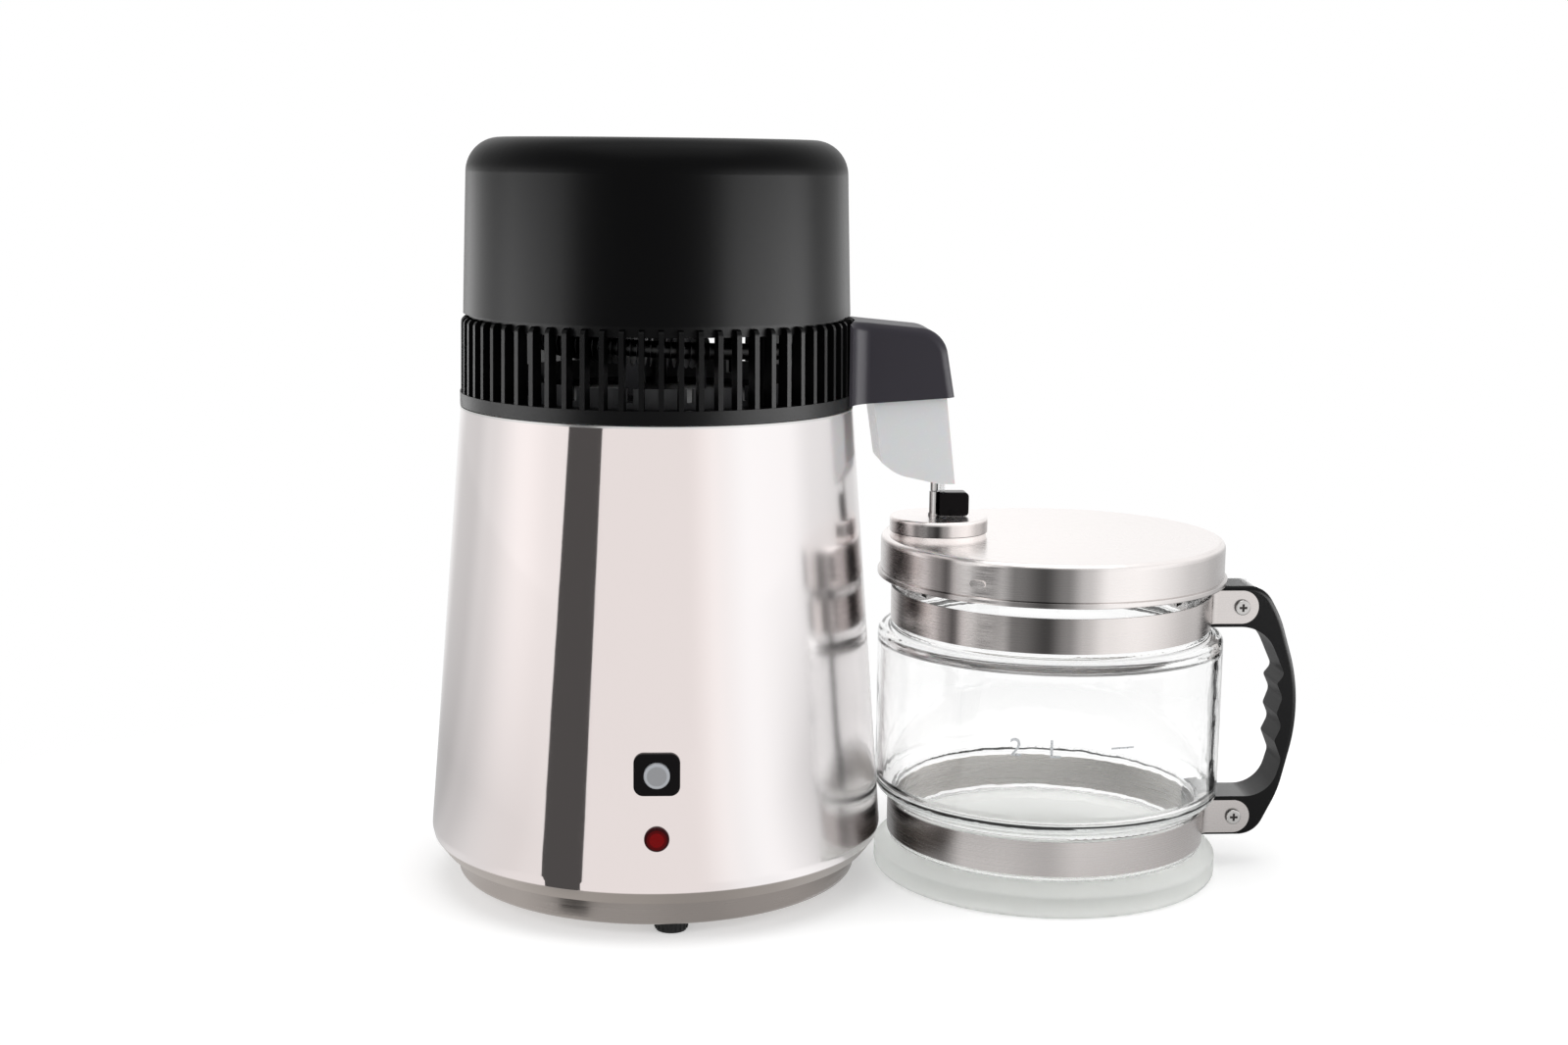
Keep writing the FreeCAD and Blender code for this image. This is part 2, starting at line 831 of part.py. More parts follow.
def thermostat_strap():
    """Bent strap that holds the thermostat up against the spreader."""
    top = tank_floor_height - spreader_thickness
    low = top - thermostat_height
    half = strap_width / 2
    reach = strap_half_length
    bar = block(-half, half, -reach, reach, low - strap_thickness, low)
    pieces = [bar]
    cuts = []
    for side in (-1, 1):
        leg_in, leg_out = sorted((side * reach, side * (reach - strap_thickness)))
        pieces.append(block(-half, half, leg_in, leg_out, low - strap_thickness, top))
        foot_in, foot_out = sorted((side * (reach - strap_thickness), side * (reach + strap_foot_length)))
        pieces.append(block(-half, half, foot_in, foot_out, top - strap_thickness, top))
        hole_y = side * (reach + strap_foot_length / 2)
        cuts.append(drum(strap_screw_radius + running_gap, low - cut_overrun, top + cut_overrun, 0, hole_y))
    return fused(pieces).cut(cuts)


def strap_screws():
    """Two short screws that hold the strap's feet to the spreader."""
    top = tank_floor_height - spreader_thickness
    under = top - strap_thickness
    screws = []
    for side in (-1, 1):
        y = side * (strap_half_length + strap_foot_length / 2)
        head = drum(strap_screw_head_radius, under - strap_screw_head_height, under, 0, y)
        shank = drum(strap_screw_radius, under - strap_screw_head_height, top + strap_screw_bite, 0, y)
        screws.append(fused([head, shank]))
    return screws


def spreader_with_holes():
    """Heat spreader with blind holes for the strap's screws."""
    top = tank_floor_height - spreader_thickness
    holes = []
    for side in (-1, 1):
        y = side * (strap_half_length + strap_foot_length / 2)
        holes.append(drum(strap_screw_radius + running_gap, top - cut_overrun, top + strap_screw_bite
                          + running_gap, 0, y))
    return heat_spreader().cut(holes)


# Front panel: the pieces are made facing -Y and then turned by panel_turn


def bezel_face_y():
    """Depth of the bezel's front face."""
    return -(taper_radius(bezel_z) + bezel_stand)


def reset_bezel():
    """Square switch surround, seated on the shell, with a neck through it."""
    front = bezel_face_y()
    plate = rounded_plate(bezel_width, bezel_height, bezel_corner_round, front, -tank_radius, bezel_z)
    plate = plate.cut(shell_filled())
    front_edges = [edge for edge in plate.Edges if abs(edge.BoundBox.YMax - front) < fit_gap]
    plate = plate.makeFillet(bezel_stand / 2, front_edges)
    neck = rounded_plate(bezel_neck_width, bezel_neck_height, bezel_neck_round,
                         front + bezel_stand / 2, front + bezel_neck_depth, bezel_z)
    bore = rod_y(button_radius + fit_gap, front - cut_overrun, -tank_radius, 0, bezel_z)
    return turned(fused([plate, neck]).cut(bore), panel_turn)


def reset_button():
    """Round button with a flange behind the bezel and a stem into the switch."""
    front = bezel_face_y() - button_stand
    back = bezel_face_y() + bezel_neck_depth + fit_gap
    flange_back = back + button_flange_thickness
    cap = rod_y(button_radius, front, back, 0, bezel_z)
    rim = [edge for edge in cap.Edges if abs(edge.BoundBox.YMax - front) < fit_gap]
    pieces = [
        cap.makeFillet(button_round, rim),
        rod_y(button_flange_radius, back, flange_back, 0, bezel_z),
        rod_y(button_stem_radius, back, flange_back + button_stem_length, 0, bezel_z),
    ]
    return turned(fused(pieces), panel_turn)


def switch_body():
    """Switch housing on four short legs behind the bezel's neck, hollow for the stem."""
    neck_back = bezel_face_y() + bezel_neck_depth
    flange_back = neck_back + fit_gap + button_flange_thickness
    front = flange_back + button_travel + fit_gap
    half = switch_width / 2
    body = block(-half, half, front, front + switch_depth, bezel_z - half, bezel_z + half)
    pieces = [body]
    for side_x in (-1, 1):
        for side_z in (-1, 1):
            x_in, x_out = sorted((side_x * half, side_x * (half - switch_leg_width)))
            z_in, z_out = sorted((side_z * half, side_z * (half - switch_leg_width)))
            pieces.append(block(x_in, x_out, neck_back, front + fit_gap, bezel_z + z_in, bezel_z + z_out))
    hole = rod_y(button_stem_radius + fit_gap, front - fit_gap, front + switch_hole_depth, 0, bezel_z)
    return turned(fused(pieces).cut(hole), panel_turn)


def lamp_lens():
    """Domed red lens seated on the shell, with a neck into it."""
    surface = taper_radius(lamp_z)
    front = -(surface + lamp_stand)
    dome = rod_y(lamp_radius, front, -tank_radius, 0, lamp_z)
    rim = [edge for edge in dome.Edges if abs(edge.BoundBox.YMax - front) < fit_gap]
    dome = dome.makeFillet(lamp_round, rim).cut(shell_filled())
    neck = rod_y(lamp_neck_radius, front + lamp_stand / 2, -surface + lamp_neck_depth, 0, lamp_z)
    return turned(fused([dome, neck]), panel_turn)


def lamp_body():
    """Lamp behind the lens."""
    start = -taper_radius(lamp_z) + lamp_neck_depth
    return turned(rod_y(lamp_neck_radius, start, start + lamp_body_depth, 0, lamp_z), panel_turn)


# Mains inlet: made facing -Y, then turned to the back


def inlet_face_y():
    """Depth of the mains inlet's face."""
    return -(taper_radius(inlet_z) + inlet_stand)


def inlet_cavity():
    """Space that the mains connector enters, with two bevelled lower corners."""
    half, rise = inlet_cavity_width / 2, inlet_cavity_height / 2
    front = inlet_face_y()
    corners = [
        (-half + inlet_cavity_bevel, inlet_z - rise, 0),
        (half - inlet_cavity_bevel, inlet_z - rise, 0),
        (half, inlet_z - rise + inlet_cavity_bevel, 0),
        (half, inlet_z + rise, 0),
        (-half, inlet_z + rise, 0),
        (-half, inlet_z - rise + inlet_cavity_bevel, 0),
    ]
    face = Part.Face(rounded_wire(corners, on_xz(front - cut_overrun)))
    return face.extrude(vec(0, cut_overrun + inlet_cavity_depth, 0))


def inlet_pin(x, z, clearance):
    """One contact blade of the mains inlet, or the slot that it passes through."""
    front = inlet_face_y()
    half_width = inlet_pin_width / 2 + clearance
    half_height = inlet_pin_height / 2 + clearance
    start = front + inlet_cavity_depth - inlet_pin_length
    return block(x - half_width, x + half_width, start, front + inlet_body_depth,
                 z - half_height, z + half_height)


def inlet_pins(clearance=0.0):
    """Lower earth pin in the middle and two line pins, at the back of the boiler."""
    places = [
        (-inlet_pin_spacing / 2, inlet_z + inlet_line_rise),
        (0, inlet_z - inlet_earth_drop),
        (inlet_pin_spacing / 2, inlet_z + inlet_line_rise),
    ]
    return [turned(inlet_pin(x, z, clearance), FULL_TURN / 2) for x, z in places]


def mains_inlet():
    """Flanged mains socket housing seated on the shell."""
    front = inlet_face_y()
    flange = rounded_plate(inlet_flange_width, inlet_flange_height, inlet_flange_round,
                           front, -tank_radius, inlet_z)
    flange = flange.cut(shell_filled())
    body = rounded_plate(inlet_body_width, inlet_body_height, inlet_body_round,
                         front + inlet_stand / 2, front + inlet_body_depth, inlet_z)
    cuts = [inlet_cavity()]
    for x in (-inlet_screw_spacing / 2, inlet_screw_spacing / 2):
        cuts.append(rod_y(inlet_screw_radius + running_gap, front - cut_overrun, -tank_radius, x, inlet_z))
    housing = turned(fused([flange, body]).cut(cuts), FULL_TURN / 2)
    return housing.cut(inlet_pins(running_gap))


def inlet_screws():
    """Two pan-head screws through the inlet's flange and the shell."""
    front = inlet_face_y()
    screws = []
    for x in (-inlet_screw_spacing / 2, inlet_screw_spacing / 2):
        head = rod_y(inlet_screw_head_radius, front - inlet_screw_head_height, front, x, inlet_z)
        shank_back = front + inlet_screw_grip
        shank = rod_y(inlet_screw_radius, front - inlet_screw_head_height, shank_back, x, inlet_z)
        screws.append(turned(fused([head, shank]), FULL_TURN / 2))
    return screws


# Head


def riser_place():
    """Plan position of the steam riser, on the tangent where the coil starts."""
    start = math.radians(coil_end_turn - FULL_TURN / 2 * coil_half_turns)
    x = coil_radius * math.cos(start) + riser_offset * math.sin(start)
    y = coil_radius * math.sin(start) - riser_offset * math.cos(start)
    return x, y


def head_gasket():
    """Soft ring that seals the head on the tank's flange."""
    return hoop(gasket_outer_radius, gasket_inner_radius, tank_rim_z, gasket_top_z)


def plate_screw_places():
    """Plan positions of the screws between the head plate and the slat ring."""
    places = []
    for index in range(plate_screw_count):
        angle = math.radians(plate_screw_turn + index * FULL_TURN / plate_screw_count)
        x = plate_screw_circle_radius * math.cos(angle)
        places.append((x, plate_screw_circle_radius * math.sin(angle)))
    return places


def head_plate():
    """Steel disc that closes the tank, with a port for the steam riser."""
    plate = drum(plate_radius, gasket_top_z, ring_floor_z)
    x, y = riser_place()
    low, high = gasket_top_z - cut_overrun, ring_floor_z + cut_overrun
    cuts = [drum(coil_tube_radius + running_gap, low, high, x, y)]
    for x, y in plate_screw_places():
        cuts.append(drum(plate_screw_radius + running_gap, low, high, x, y))
    for x, y in stand_screw_places():
        cuts.append(drum(stand_screw_radius + running_gap, low, high, x, y))
    return plate.cut(cuts)


def plate_screws():
    """Screws up through the head plate into the slat ring's floor."""
    screws = []
    for x, y in plate_screw_places():
        head = drum(plate_screw_head_radius, gasket_top_z - plate_screw_head_height, gasket_top_z, x, y)
        shank = drum(plate_screw_radius, gasket_top_z - plate_screw_head_height,
                     gasket_top_z + plate_screw_bite - plate_thickness - running_gap, x, y)
        screws.append(fused([head, shank]))
    return screws


def slat_angles():
    """Azimuths of the slats, leaving out those at the arm and at the fan socket."""
    angles = []
    for index in range(slat_count):
        angle = slat_turn + index * FULL_TURN / slat_count
        from_arm = abs((angle + FULL_TURN / 2) % FULL_TURN - FULL_TURN / 2)
        from_back = abs((angle - 90) % FULL_TURN)
        from_back = min(from_back, FULL_TURN - from_back)
        socket_angle = math.degrees(math.asin((socket_width / 2 + 2 * opening_post_width) / slat_foot_radius))
        if from_arm > arm_saddle_angle and from_back > socket_angle:
            angles.append(angle)
    return angles


def one_slat():
    """Upright slat with a rounded top, at azimuth zero."""
    corners = [
        (slat_inner_radius, rim_top_z - fit_gap, 0),
        (slat_foot_radius, rim_top_z - fit_gap, 0),
        (slat_top_radius, slat_top_z, slat_top_round),
        (slat_inner_radius, slat_top_z, 0),
    ]
    return across(corners, slat_width / 2)


def opening_posts(half_width, turn):
    """Two posts beside an opening in the slats."""
    posts = []
    for side in (-1, 1):
        y_in, y_out = sorted((side * half_width, side * (half_width + opening_post_width)))
        post = block(slat_inner_radius, slat_foot_radius, y_in, y_out, rim_top_z - fit_gap, slat_top_z)
        post = post.common(drum(slat_top_radius, ring_floor_z, slat_top_z))
        posts.append(turned(post, turn))
    return posts


def tower_places():
    """Azimuths of the three screw towers."""
    return [tower_turn + index * FULL_TURN / tower_count for index in range(tower_count)]


def slat_ring():
    """Lower head casing: rim, floor, slats, screw towers and the ring that carries the cover."""
    rim = lathe([
        (rim_radius - rim_wall, rim_low_z, 0),
        (rim_radius, rim_low_z, 0),
        (rim_radius, rim_top_z, 0),
        (slat_inner_radius - rim_wall, rim_top_z, 0),
        (slat_inner_radius - rim_wall, ring_deck_z, 0),
        (ring_floor_inner_radius, ring_deck_z, 0),
        (ring_floor_inner_radius, ring_floor_z, 0),
        (rim_radius - rim_wall, ring_floor_z, 0),
    ])
    pieces = [rim, hoop(upper_ring_radius, upper_ring_inner_radius, upper_ring_low_z, upper_ring_top_z)]
    slat = one_slat()
    pieces += [turned(slat, angle) for angle in slat_angles()]
    pieces += opening_posts(collar_half_width + fit_gap, 0)
    pieces += opening_posts(socket_width / 2 + fit_gap, 90)
    tower = drum(tower_radius, ring_floor_z + ring_floor_thickness / 2, upper_ring_top_z, tower_circle_radius)
    pieces += [turned(tower, angle) for angle in tower_places()]
    ring = fused(pieces)
    head_top = ring_floor_z + cover_screw_head_height + fit_gap
    low = ring_floor_z - cut_overrun
    recess = drum(cover_screw_head_radius + fit_gap, low, head_top, tower_circle_radius)
    hole = drum(cover_screw_radius + running_gap, ring_floor_z, upper_ring_top_z + cut_overrun,
                tower_circle_radius)
    cuts = [turned(cut, angle) for cut in (recess, hole) for angle in tower_places()]
    for x, y in plate_screw_places():
        cuts.append(drum(plate_screw_radius + running_gap, ring_floor_z - cut_overrun,
                         gasket_top_z + plate_screw_bite, x, y))
    return ring.cut(cuts)


def cover_screws():
    """Long screws from under the slat ring's floor up into the cover's bosses."""
    head = drum(cover_screw_head_radius, ring_floor_z + fit_gap / 2,
                ring_floor_z + cover_screw_head_height, tower_circle_radius)
    shank = drum(cover_screw_radius, ring_floor_z + fit_gap, upper_ring_top_z + cover_screw_bite,
                 tower_circle_radius)
    screw = fused([head, shank])
    return [turned(screw, angle) for angle in tower_places()]


def air_baffle():
    """Notched ring on the slat ring's floor that guides the air."""
    low = ring_deck_z
    ring = hoop(baffle_radius, baffle_inner_radius, low, low + baffle_height)
    notch = block(baffle_inner_radius - cut_overrun, baffle_radius + cut_overrun,
                  -baffle_notch_width / 2, baffle_notch_width / 2,
                  low + baffle_base_height, low + baffle_height + cut_overrun)
    return ring.cut(around(notch, baffle_notch_count))


def cover_outline(inset, low):
    """Half outline of the cover, moved inwards."""
    top = cover_top_z - inset
    return [
        (0, low, 0),
        (cover_foot_radius - inset, low, 0),
        (cover_shoulder_radius - inset, top, cover_round - inset),
        (0, top, 0),
    ]


def top_cover():
    """Deep domed cover with three bosses for the long screws."""
    outside = lathe(cover_outline(0, cover_low_z))
    inside = lathe(cover_outline(cover_wall, cover_low_z))
    boss = drum(boss_radius, upper_ring_top_z, cover_top_z - cover_wall / 2, tower_circle_radius)
    bosses = [turned(boss, angle).common(outside) for angle in tower_places()]
    cover = fused([outside.cut(inside)] + bosses)
    hole = drum(cover_screw_radius + running_gap, upper_ring_top_z - cut_overrun,
                upper_ring_top_z + cover_screw_bite + fit_gap, tower_circle_radius)
    return cover.cut([turned(hole, angle) for angle in tower_places()])


# Condenser coil: one tube from the head plate, round the fan motor and out into the arm


def coil_point(turn_share):
    """Point and travel direction on the coil, by share of its whole sweep from the top."""
    sweep = FULL_TURN / 2 * coil_half_turns
    angle = math.radians(coil_end_turn - sweep + sweep * turn_share)
    drop = coil_pitch * coil_half_turns / 2
    z = coil_low_z + drop * (1 - turn_share)
    place = vec(coil_radius * math.cos(angle), coil_radius * math.sin(angle), z)
    fall = coil_pitch / (2 * math.pi * coil_radius)
    travel = vec(-math.sin(angle), math.cos(angle), -fall).normalize()
    return place, travel


def tangent_arc(start, corner, end):
    """Arc from start to end whose tangents meet at a corner as far from both."""
    chord_middle = (start + end) * 0.5
    half = (end - start).getAngle(corner - start)
    share = math.tan(half / 2) / math.tan(half)
    return Part.Arc(start, chord_middle + (corner - chord_middle) * share, end).toShape()


def biarc(start, start_travel, end, end_travel):
    """Two arcs that join two points with the given directions of travel."""
    chord = end - start
    both = start_travel + end_travel
    along = chord.dot(both)
    spread = 2 * (1 - start_travel.dot(end_travel))
    reach = (-along + math.sqrt(along * along + spread * chord.dot(chord))) / spread
    first_corner = start + start_travel * reach
    last_corner = end - end_travel * reach
    joint = (first_corner + last_corner) * 0.5
    return [tangent_arc(start, first_corner, joint), tangent_arc(joint, last_corner, end)]


def bend(corner, before, after, radius):
    """Arc of one radius that rounds a corner, with its start and end."""
    to_before = (before - corner).normalize()
    to_after = (after - corner).normalize()
    trim = radius / math.tan(to_before.getAngle(to_after) / 2)
    start = corner + to_before * trim
    end = corner + to_after * trim
    return tangent_arc(start, corner, end), start, end


def coil_path():
    """Centre line of the condenser tube, from the head plate to its end in the arm."""
    start, travel = coil_point(0)
    riser_x, riser_y = riser_place()
    foot = vec(riser_x, riser_y, gasket_top_z)
    riser_top = start - travel * (riser_offset / math.hypot(travel.x, travel.y))
    riser_top = vec(riser_x, riser_y, riser_top.z)
    riser_arc, arc_start, arc_end = bend(riser_top, foot, start, riser_bend_radius)
    edges = [Part.LineSegment(foot, arc_start).toShape(), riser_arc]
    edges.append(Part.LineSegment(arc_end, start).toShape())
    quarters = 2 * coil_half_turns
    for index in range(quarters):
        edges += biarc(*coil_point(index / quarters), *coil_point((index + 1) / quarters))
    end, travel = coil_point(1)
    turn_corner = end + travel * (-end.y / travel.y)
    down_corner = vec(outlet_bend_x, 0, turn_corner.z - outlet_run_fall)
    tail = down_corner - vec(0, 0, outlet_end_drop)
    turn_arc, turn_start, turn_end = bend(turn_corner, end, down_corner, outlet_turn_radius)
    down_arc, down_start, down_end = bend(down_corner, turn_corner, tail, outlet_bend_radius)
    edges.append(Part.LineSegment(end, turn_start).toShape())
    edges.append(turn_arc)
    edges.append(Part.LineSegment(turn_end, down_start).toShape())
    edges.append(down_arc)
    edges.append(Part.LineSegment(down_end, tail).toShape())
    return Part.Wire(edges)


def pipe_along(path, radius):
    """Round pipe shell along a path that starts straight up."""
    start = path.Vertexes[0].Point
    ring = Part.Wire([Part.Circle(start, UP, radius).toShape()])
    return Part.Wire(path.Edges).makePipeShell([ring], True, False)


def condenser_coil():
    """Condenser: a bare steel tube, hollow from end to end."""
    path = coil_path()
    return pipe_along(path, coil_tube_radius).cut(pipe_along(path, coil_bore_radius))


def least_coil_gap():
    """Least gap between turns of the coil, measured on points along its centre line."""
    count = 24 * coil_half_turns
    points = [coil_point(index / count)[0] for index in range(count + 1)]
    apart = count // coil_half_turns
    gap = coil_pitch
    for index, point in enumerate(points):
        for other in points[index + apart:]:
            gap = min(gap, point.distanceToPoint(other) - 2 * coil_tube_radius)
    return gap


# Fan motor on its stand


def stand_screw_places():
    """Plan positions of the screws that hold the motor stand's feet."""
    places = []
    reach = stand_leg_circle_radius + stand_foot_length / 2
    for index in range(stand_leg_count):
        angle = math.radians(index * FULL_TURN / stand_leg_count)
        places.append((reach * math.cos(angle), reach * math.sin(angle)))
    return places


def stand_top_z():
    """Height of the stand's top face."""
    return ring_floor_z + stand_height


def motor_stand():
    """Three-legged sheet stand on the head plate with a bush for the fan's shaft."""
    top = stand_top_z()
    pieces = [drum(stand_top_radius, top - stand_sheet, top)]
    half = stand_leg_width / 2
    circle = stand_leg_circle_radius
    leg = block(circle - stand_sheet, circle, -half, half, ring_floor_z, top - stand_sheet / 2)
    foot = block(circle - stand_sheet, circle + stand_foot_length, -half, half,
                 ring_floor_z, ring_floor_z + stand_sheet)
    pieces += around(fused([leg, foot]), stand_leg_count)
    cuts = [drum(shaft_radius + running_gap, top - stand_sheet - cut_overrun, top + cut_overrun)]
    for x, y in stand_screw_places():
        cuts.append(drum(stand_screw_radius + running_gap, ring_floor_z - cut_overrun,
                         ring_floor_z + stand_sheet + cut_overrun, x, y))
    return fused(pieces).cut(cuts)


def stand_screws():
    """Screws down through the stand's feet into the head plate."""
    screws = []
    seat = ring_floor_z + stand_sheet
    for x, y in stand_screw_places():
        head = drum(stand_screw_head_radius, seat, seat + stand_screw_head_height, x, y)
        shank = drum(stand_screw_radius, gasket_top_z, seat + stand_screw_head_height, x, y)
        screws.append(fused([head, shank]))
    return screws


def stator_low_z():
    """Height of the stator's underside."""
    return stand_top_z() + stator_lift


def motor_stator():
    """Laminated shaded-pole stator on two spacers, with a bore and one wound limb."""
    low = stator_low_z()
    high = low + stator_thickness
    half = stator_width / 2
    corner = stator_corner_round
    plan = [(-half, -stator_front, corner), (half, -stator_front, corner)]
    plan += [(half, stator_back, corner), (-half, stator_back, corner)]
    core = upright(plan, low, high)
    limb = stator_limb_width / 2
    cuts = [drum(stator_bore_radius, low - cut_overrun, high + cut_overrun)]
    for side in (-1, 1):
        x_in, x_out = sorted((side * limb, side * (limb + stator_window_width)))
        cuts.append(block(x_in, x_out, stator_window_start, stator_window_start + stator_window_depth,
                          low - cut_overrun, high + cut_overrun))
    core = core.cut(cuts)
    spacers = [drum(corner, stand_top_z(), low + corner / 2, x, 0)
               for x in (-stator_spacer_offset(), stator_spacer_offset())]
    return fused([core] + spacers)


def stator_spacer_offset():
    """Distance of each spacer from the shaft, between the bore and the stator's edge."""
    return (stator_bore_radius + stator_width / 2) / 2


def motor_winding():
    """Coil block wound round the stator's free limb."""
    low = stator_low_z()
    high = low + stator_thickness
    margin = winding_margin
    limb = stator_limb_width / 2
    outer = limb + stator_window_width - margin
    y_low = stator_window_start + margin
    y_high = stator_window_start + stator_window_depth - margin
    overhang = stator_lift - 2 * fit_gap
    solid = block(-outer, outer, y_low, y_high, low - overhang, high + overhang)
    core = block(-limb - margin, limb + margin, y_low - cut_overrun, y_high + cut_overrun,
                 low - margin, high + margin)
    return solid.cut(core)


def bearing_bridge():
    """Strap over the rotor that carries the upper bush."""
    low = stator_low_z() + stator_thickness
    top = low + bridge_rise
    half = stator_spacer_offset() + bridge_width / 2
    half_width = bridge_width / 2
    pieces = [block(-half, half, -half_width, half_width, top - bridge_sheet, top)]
    for side in (-1, 1):
        x_in, x_out = sorted((side * half, side * (half - bridge_width / 2)))
        pieces.append(block(x_in, x_out, -half_width, half_width, low, top - bridge_sheet / 2))
    pieces.append(drum(bridge_bush_radius, top - bridge_bush_height, top))
    bore = drum(shaft_radius + running_gap, low - cut_overrun, top + cut_overrun)
    return fused(pieces).cut(bore)


def motor_rotor():
    """Rotor with its shaft, which stands in both bushes."""
    low = stator_low_z()
    rotor = drum(rotor_radius, low, low + stator_thickness)
    shaft = drum(shaft_radius, stand_top_z() - shaft_tail, fan_mid_z + fan_hub_height / 2 + fan_shaft_stick)
    return fused([rotor, shaft])


def fan_blades():
    """Axial fan: a hub pressed on the shaft and five pitched blades."""
    low = fan_mid_z - fan_hub_height / 2
    hub = drum(fan_hub_radius, low, low + fan_hub_height)
    half = fan_blade_width / 2
    thick = fan_blade_thickness / 2
    plan = [(fan_hub_radius / 2, -half / 2, 0), (fan_radius, -half, half / 2)]
    plan += [(fan_radius, half, half / 2), (fan_hub_radius / 2, half / 2, 0)]
    blade = upright(plan, fan_mid_z - thick, fan_mid_z + thick)
    blade.rotate(vec(0, 0, fan_mid_z), vec(1, 0, 0), fan_blade_pitch)
    bore = drum(shaft_radius + running_gap, low - cut_overrun, low + fan_hub_height + cut_overrun)
    return fused([hub] + around(blade, fan_blade_count)).cut(bore)


# Fan socket: made at azimuth zero and turned to the back


def socket_middle_z():
    """Height of the fan socket's centre, halfway between the slat ring's floor and its upper ring."""
    return (ring_deck_z + upper_ring_low_z) / 2


def socket_pins(clearance=0.0):
    """Two round pins in the fan socket."""
    back = rim_radius - socket_cavity_depth
    tip = back + socket_pin_length
    radius = socket_pin_radius + clearance
    pins = []
    for y in (-socket_pin_spacing / 2, socket_pin_spacing / 2):
        start = vec(rim_radius - socket_depth - clearance, y, socket_middle_z())
        pin = Part.makeCylinder(radius, tip - start.x, start, vec(1, 0, 0))
        pins.append(turned(pin, 90))
    return pins


def fan_socket():
    """Two-pin socket for the fan's lead, between two posts of the slat ring."""
    low, middle, high = rim_top_z, socket_middle_z(), upper_ring_low_z
    half = socket_width / 2
    body = block(rim_radius - socket_depth, rim_radius + cut_overrun, -half, half, low, high)
    body = body.common(drum(rim_radius, low, high))
    cavity = block(rim_radius - socket_cavity_depth, rim_radius + cut_overrun,
                   -socket_cavity_width / 2, socket_cavity_width / 2,
                   middle - socket_cavity_height / 2, middle + socket_cavity_height / 2)
    return turned(body.cut(cavity), 90).cut(socket_pins(running_gap))


# Spout arm and its insert


def arm_side(inset, bottom_drop):
    """Side outline of the arm, moved inwards, with its open bottom lowered."""
    return [
        (arm_root_x, arm_low_z - bottom_drop, 0),
        (arm_end_low_x - inset, arm_end_low_z - bottom_drop, 0),
        (arm_end_high_x - inset, arm_end_high_z - inset, arm_corner_round - inset),
        (arm_root_x, arm_top_z - inset, 0),
    ]


def arm_plan():
    """Plan outline of the arm: a saddle on the ring that narrows through two concave arcs."""
    saddle = ring_outer_radius + arm_saddle_thickness
    centre_reach = saddle + arm_fillet_radius
    centre_y = arm_half_width + arm_fillet_radius
    centre_x = math.sqrt(centre_reach ** 2 - centre_y ** 2)
    edge_angle = math.radians(arm_saddle_angle)
    meet_share = saddle / centre_reach
    meet_angle = math.atan2(centre_y, centre_x)
    middle_angle = (edge_angle + meet_angle) / 2

    def around_saddle(angle, side):
        return vec(saddle * math.cos(angle), side * saddle * math.sin(angle), 0)

    upper = []
    for side in (1, -1):
        meet = vec(centre_x * meet_share, side * centre_y * meet_share, 0)
        tangent = vec(centre_x, side * arm_half_width, 0)
        toward = (meet + tangent) * 0.5 - vec(centre_x, side * centre_y, 0)
        middle = vec(centre_x, side * centre_y, 0) + toward.normalize() * arm_fillet_radius
        edge_place = around_saddle(edge_angle, side)
        upper.append((edge_place, around_saddle(middle_angle, side), meet, middle, tangent))
    left, right = upper
    end_x = arm_end_low_x + arm_corner_round
    points_left, points_right = vec(end_x, arm_half_width, 0), vec(end_x, -arm_half_width, 0)
    root_left = vec(arm_root_x / 2, left[0].y, 0)
    root_right = vec(arm_root_x / 2, right[0].y, 0)
    edges = [
        Part.LineSegment(root_left, left[0]).toShape(),
        Part.Arc(left[0], left[1], left[2]).toShape(),
        Part.Arc(left[2], left[3], left[4]).toShape(),
        Part.LineSegment(left[4], points_left).toShape(),
        Part.LineSegment(points_left, points_right).toShape(),
        Part.LineSegment(points_right, right[4]).toShape(),
        Part.Arc(right[4], right[3], right[2]).toShape(),
        Part.Arc(right[2], right[1], right[0]).toShape(),
        Part.LineSegment(right[0], root_right).toShape(),
        Part.LineSegment(root_right, root_left).toShape(),
    ]
    face = Part.Face(Part.Wire(edges))
    low = arm_low_z - arm_corner_round
    face.translate(vec(0, 0, low))
    return face.extrude(vec(0, 0, arm_top_z + arm_corner_round - low))


def arm_top_edges(hull):
    """Edges between the arm's side faces and its top and end, out past the saddle."""
    limit_x = ring_outer_radius + arm_saddle_thickness + arm_fillet_radius / 2
    chosen = []
    for edge in hull.Edges:
        box = edge.BoundBox
        flat_in_y = box.YLength < fit_gap
        on_side = abs(abs(box.YMin) - arm_half_width) < fit_gap
        off_bottom = box.ZMax > arm_end_low_z + fit_gap
        if flat_in_y and on_side and off_bottom and box.XMax > limit_x and box.XLength > fit_gap:
            chosen.append(edge)
    return chosen


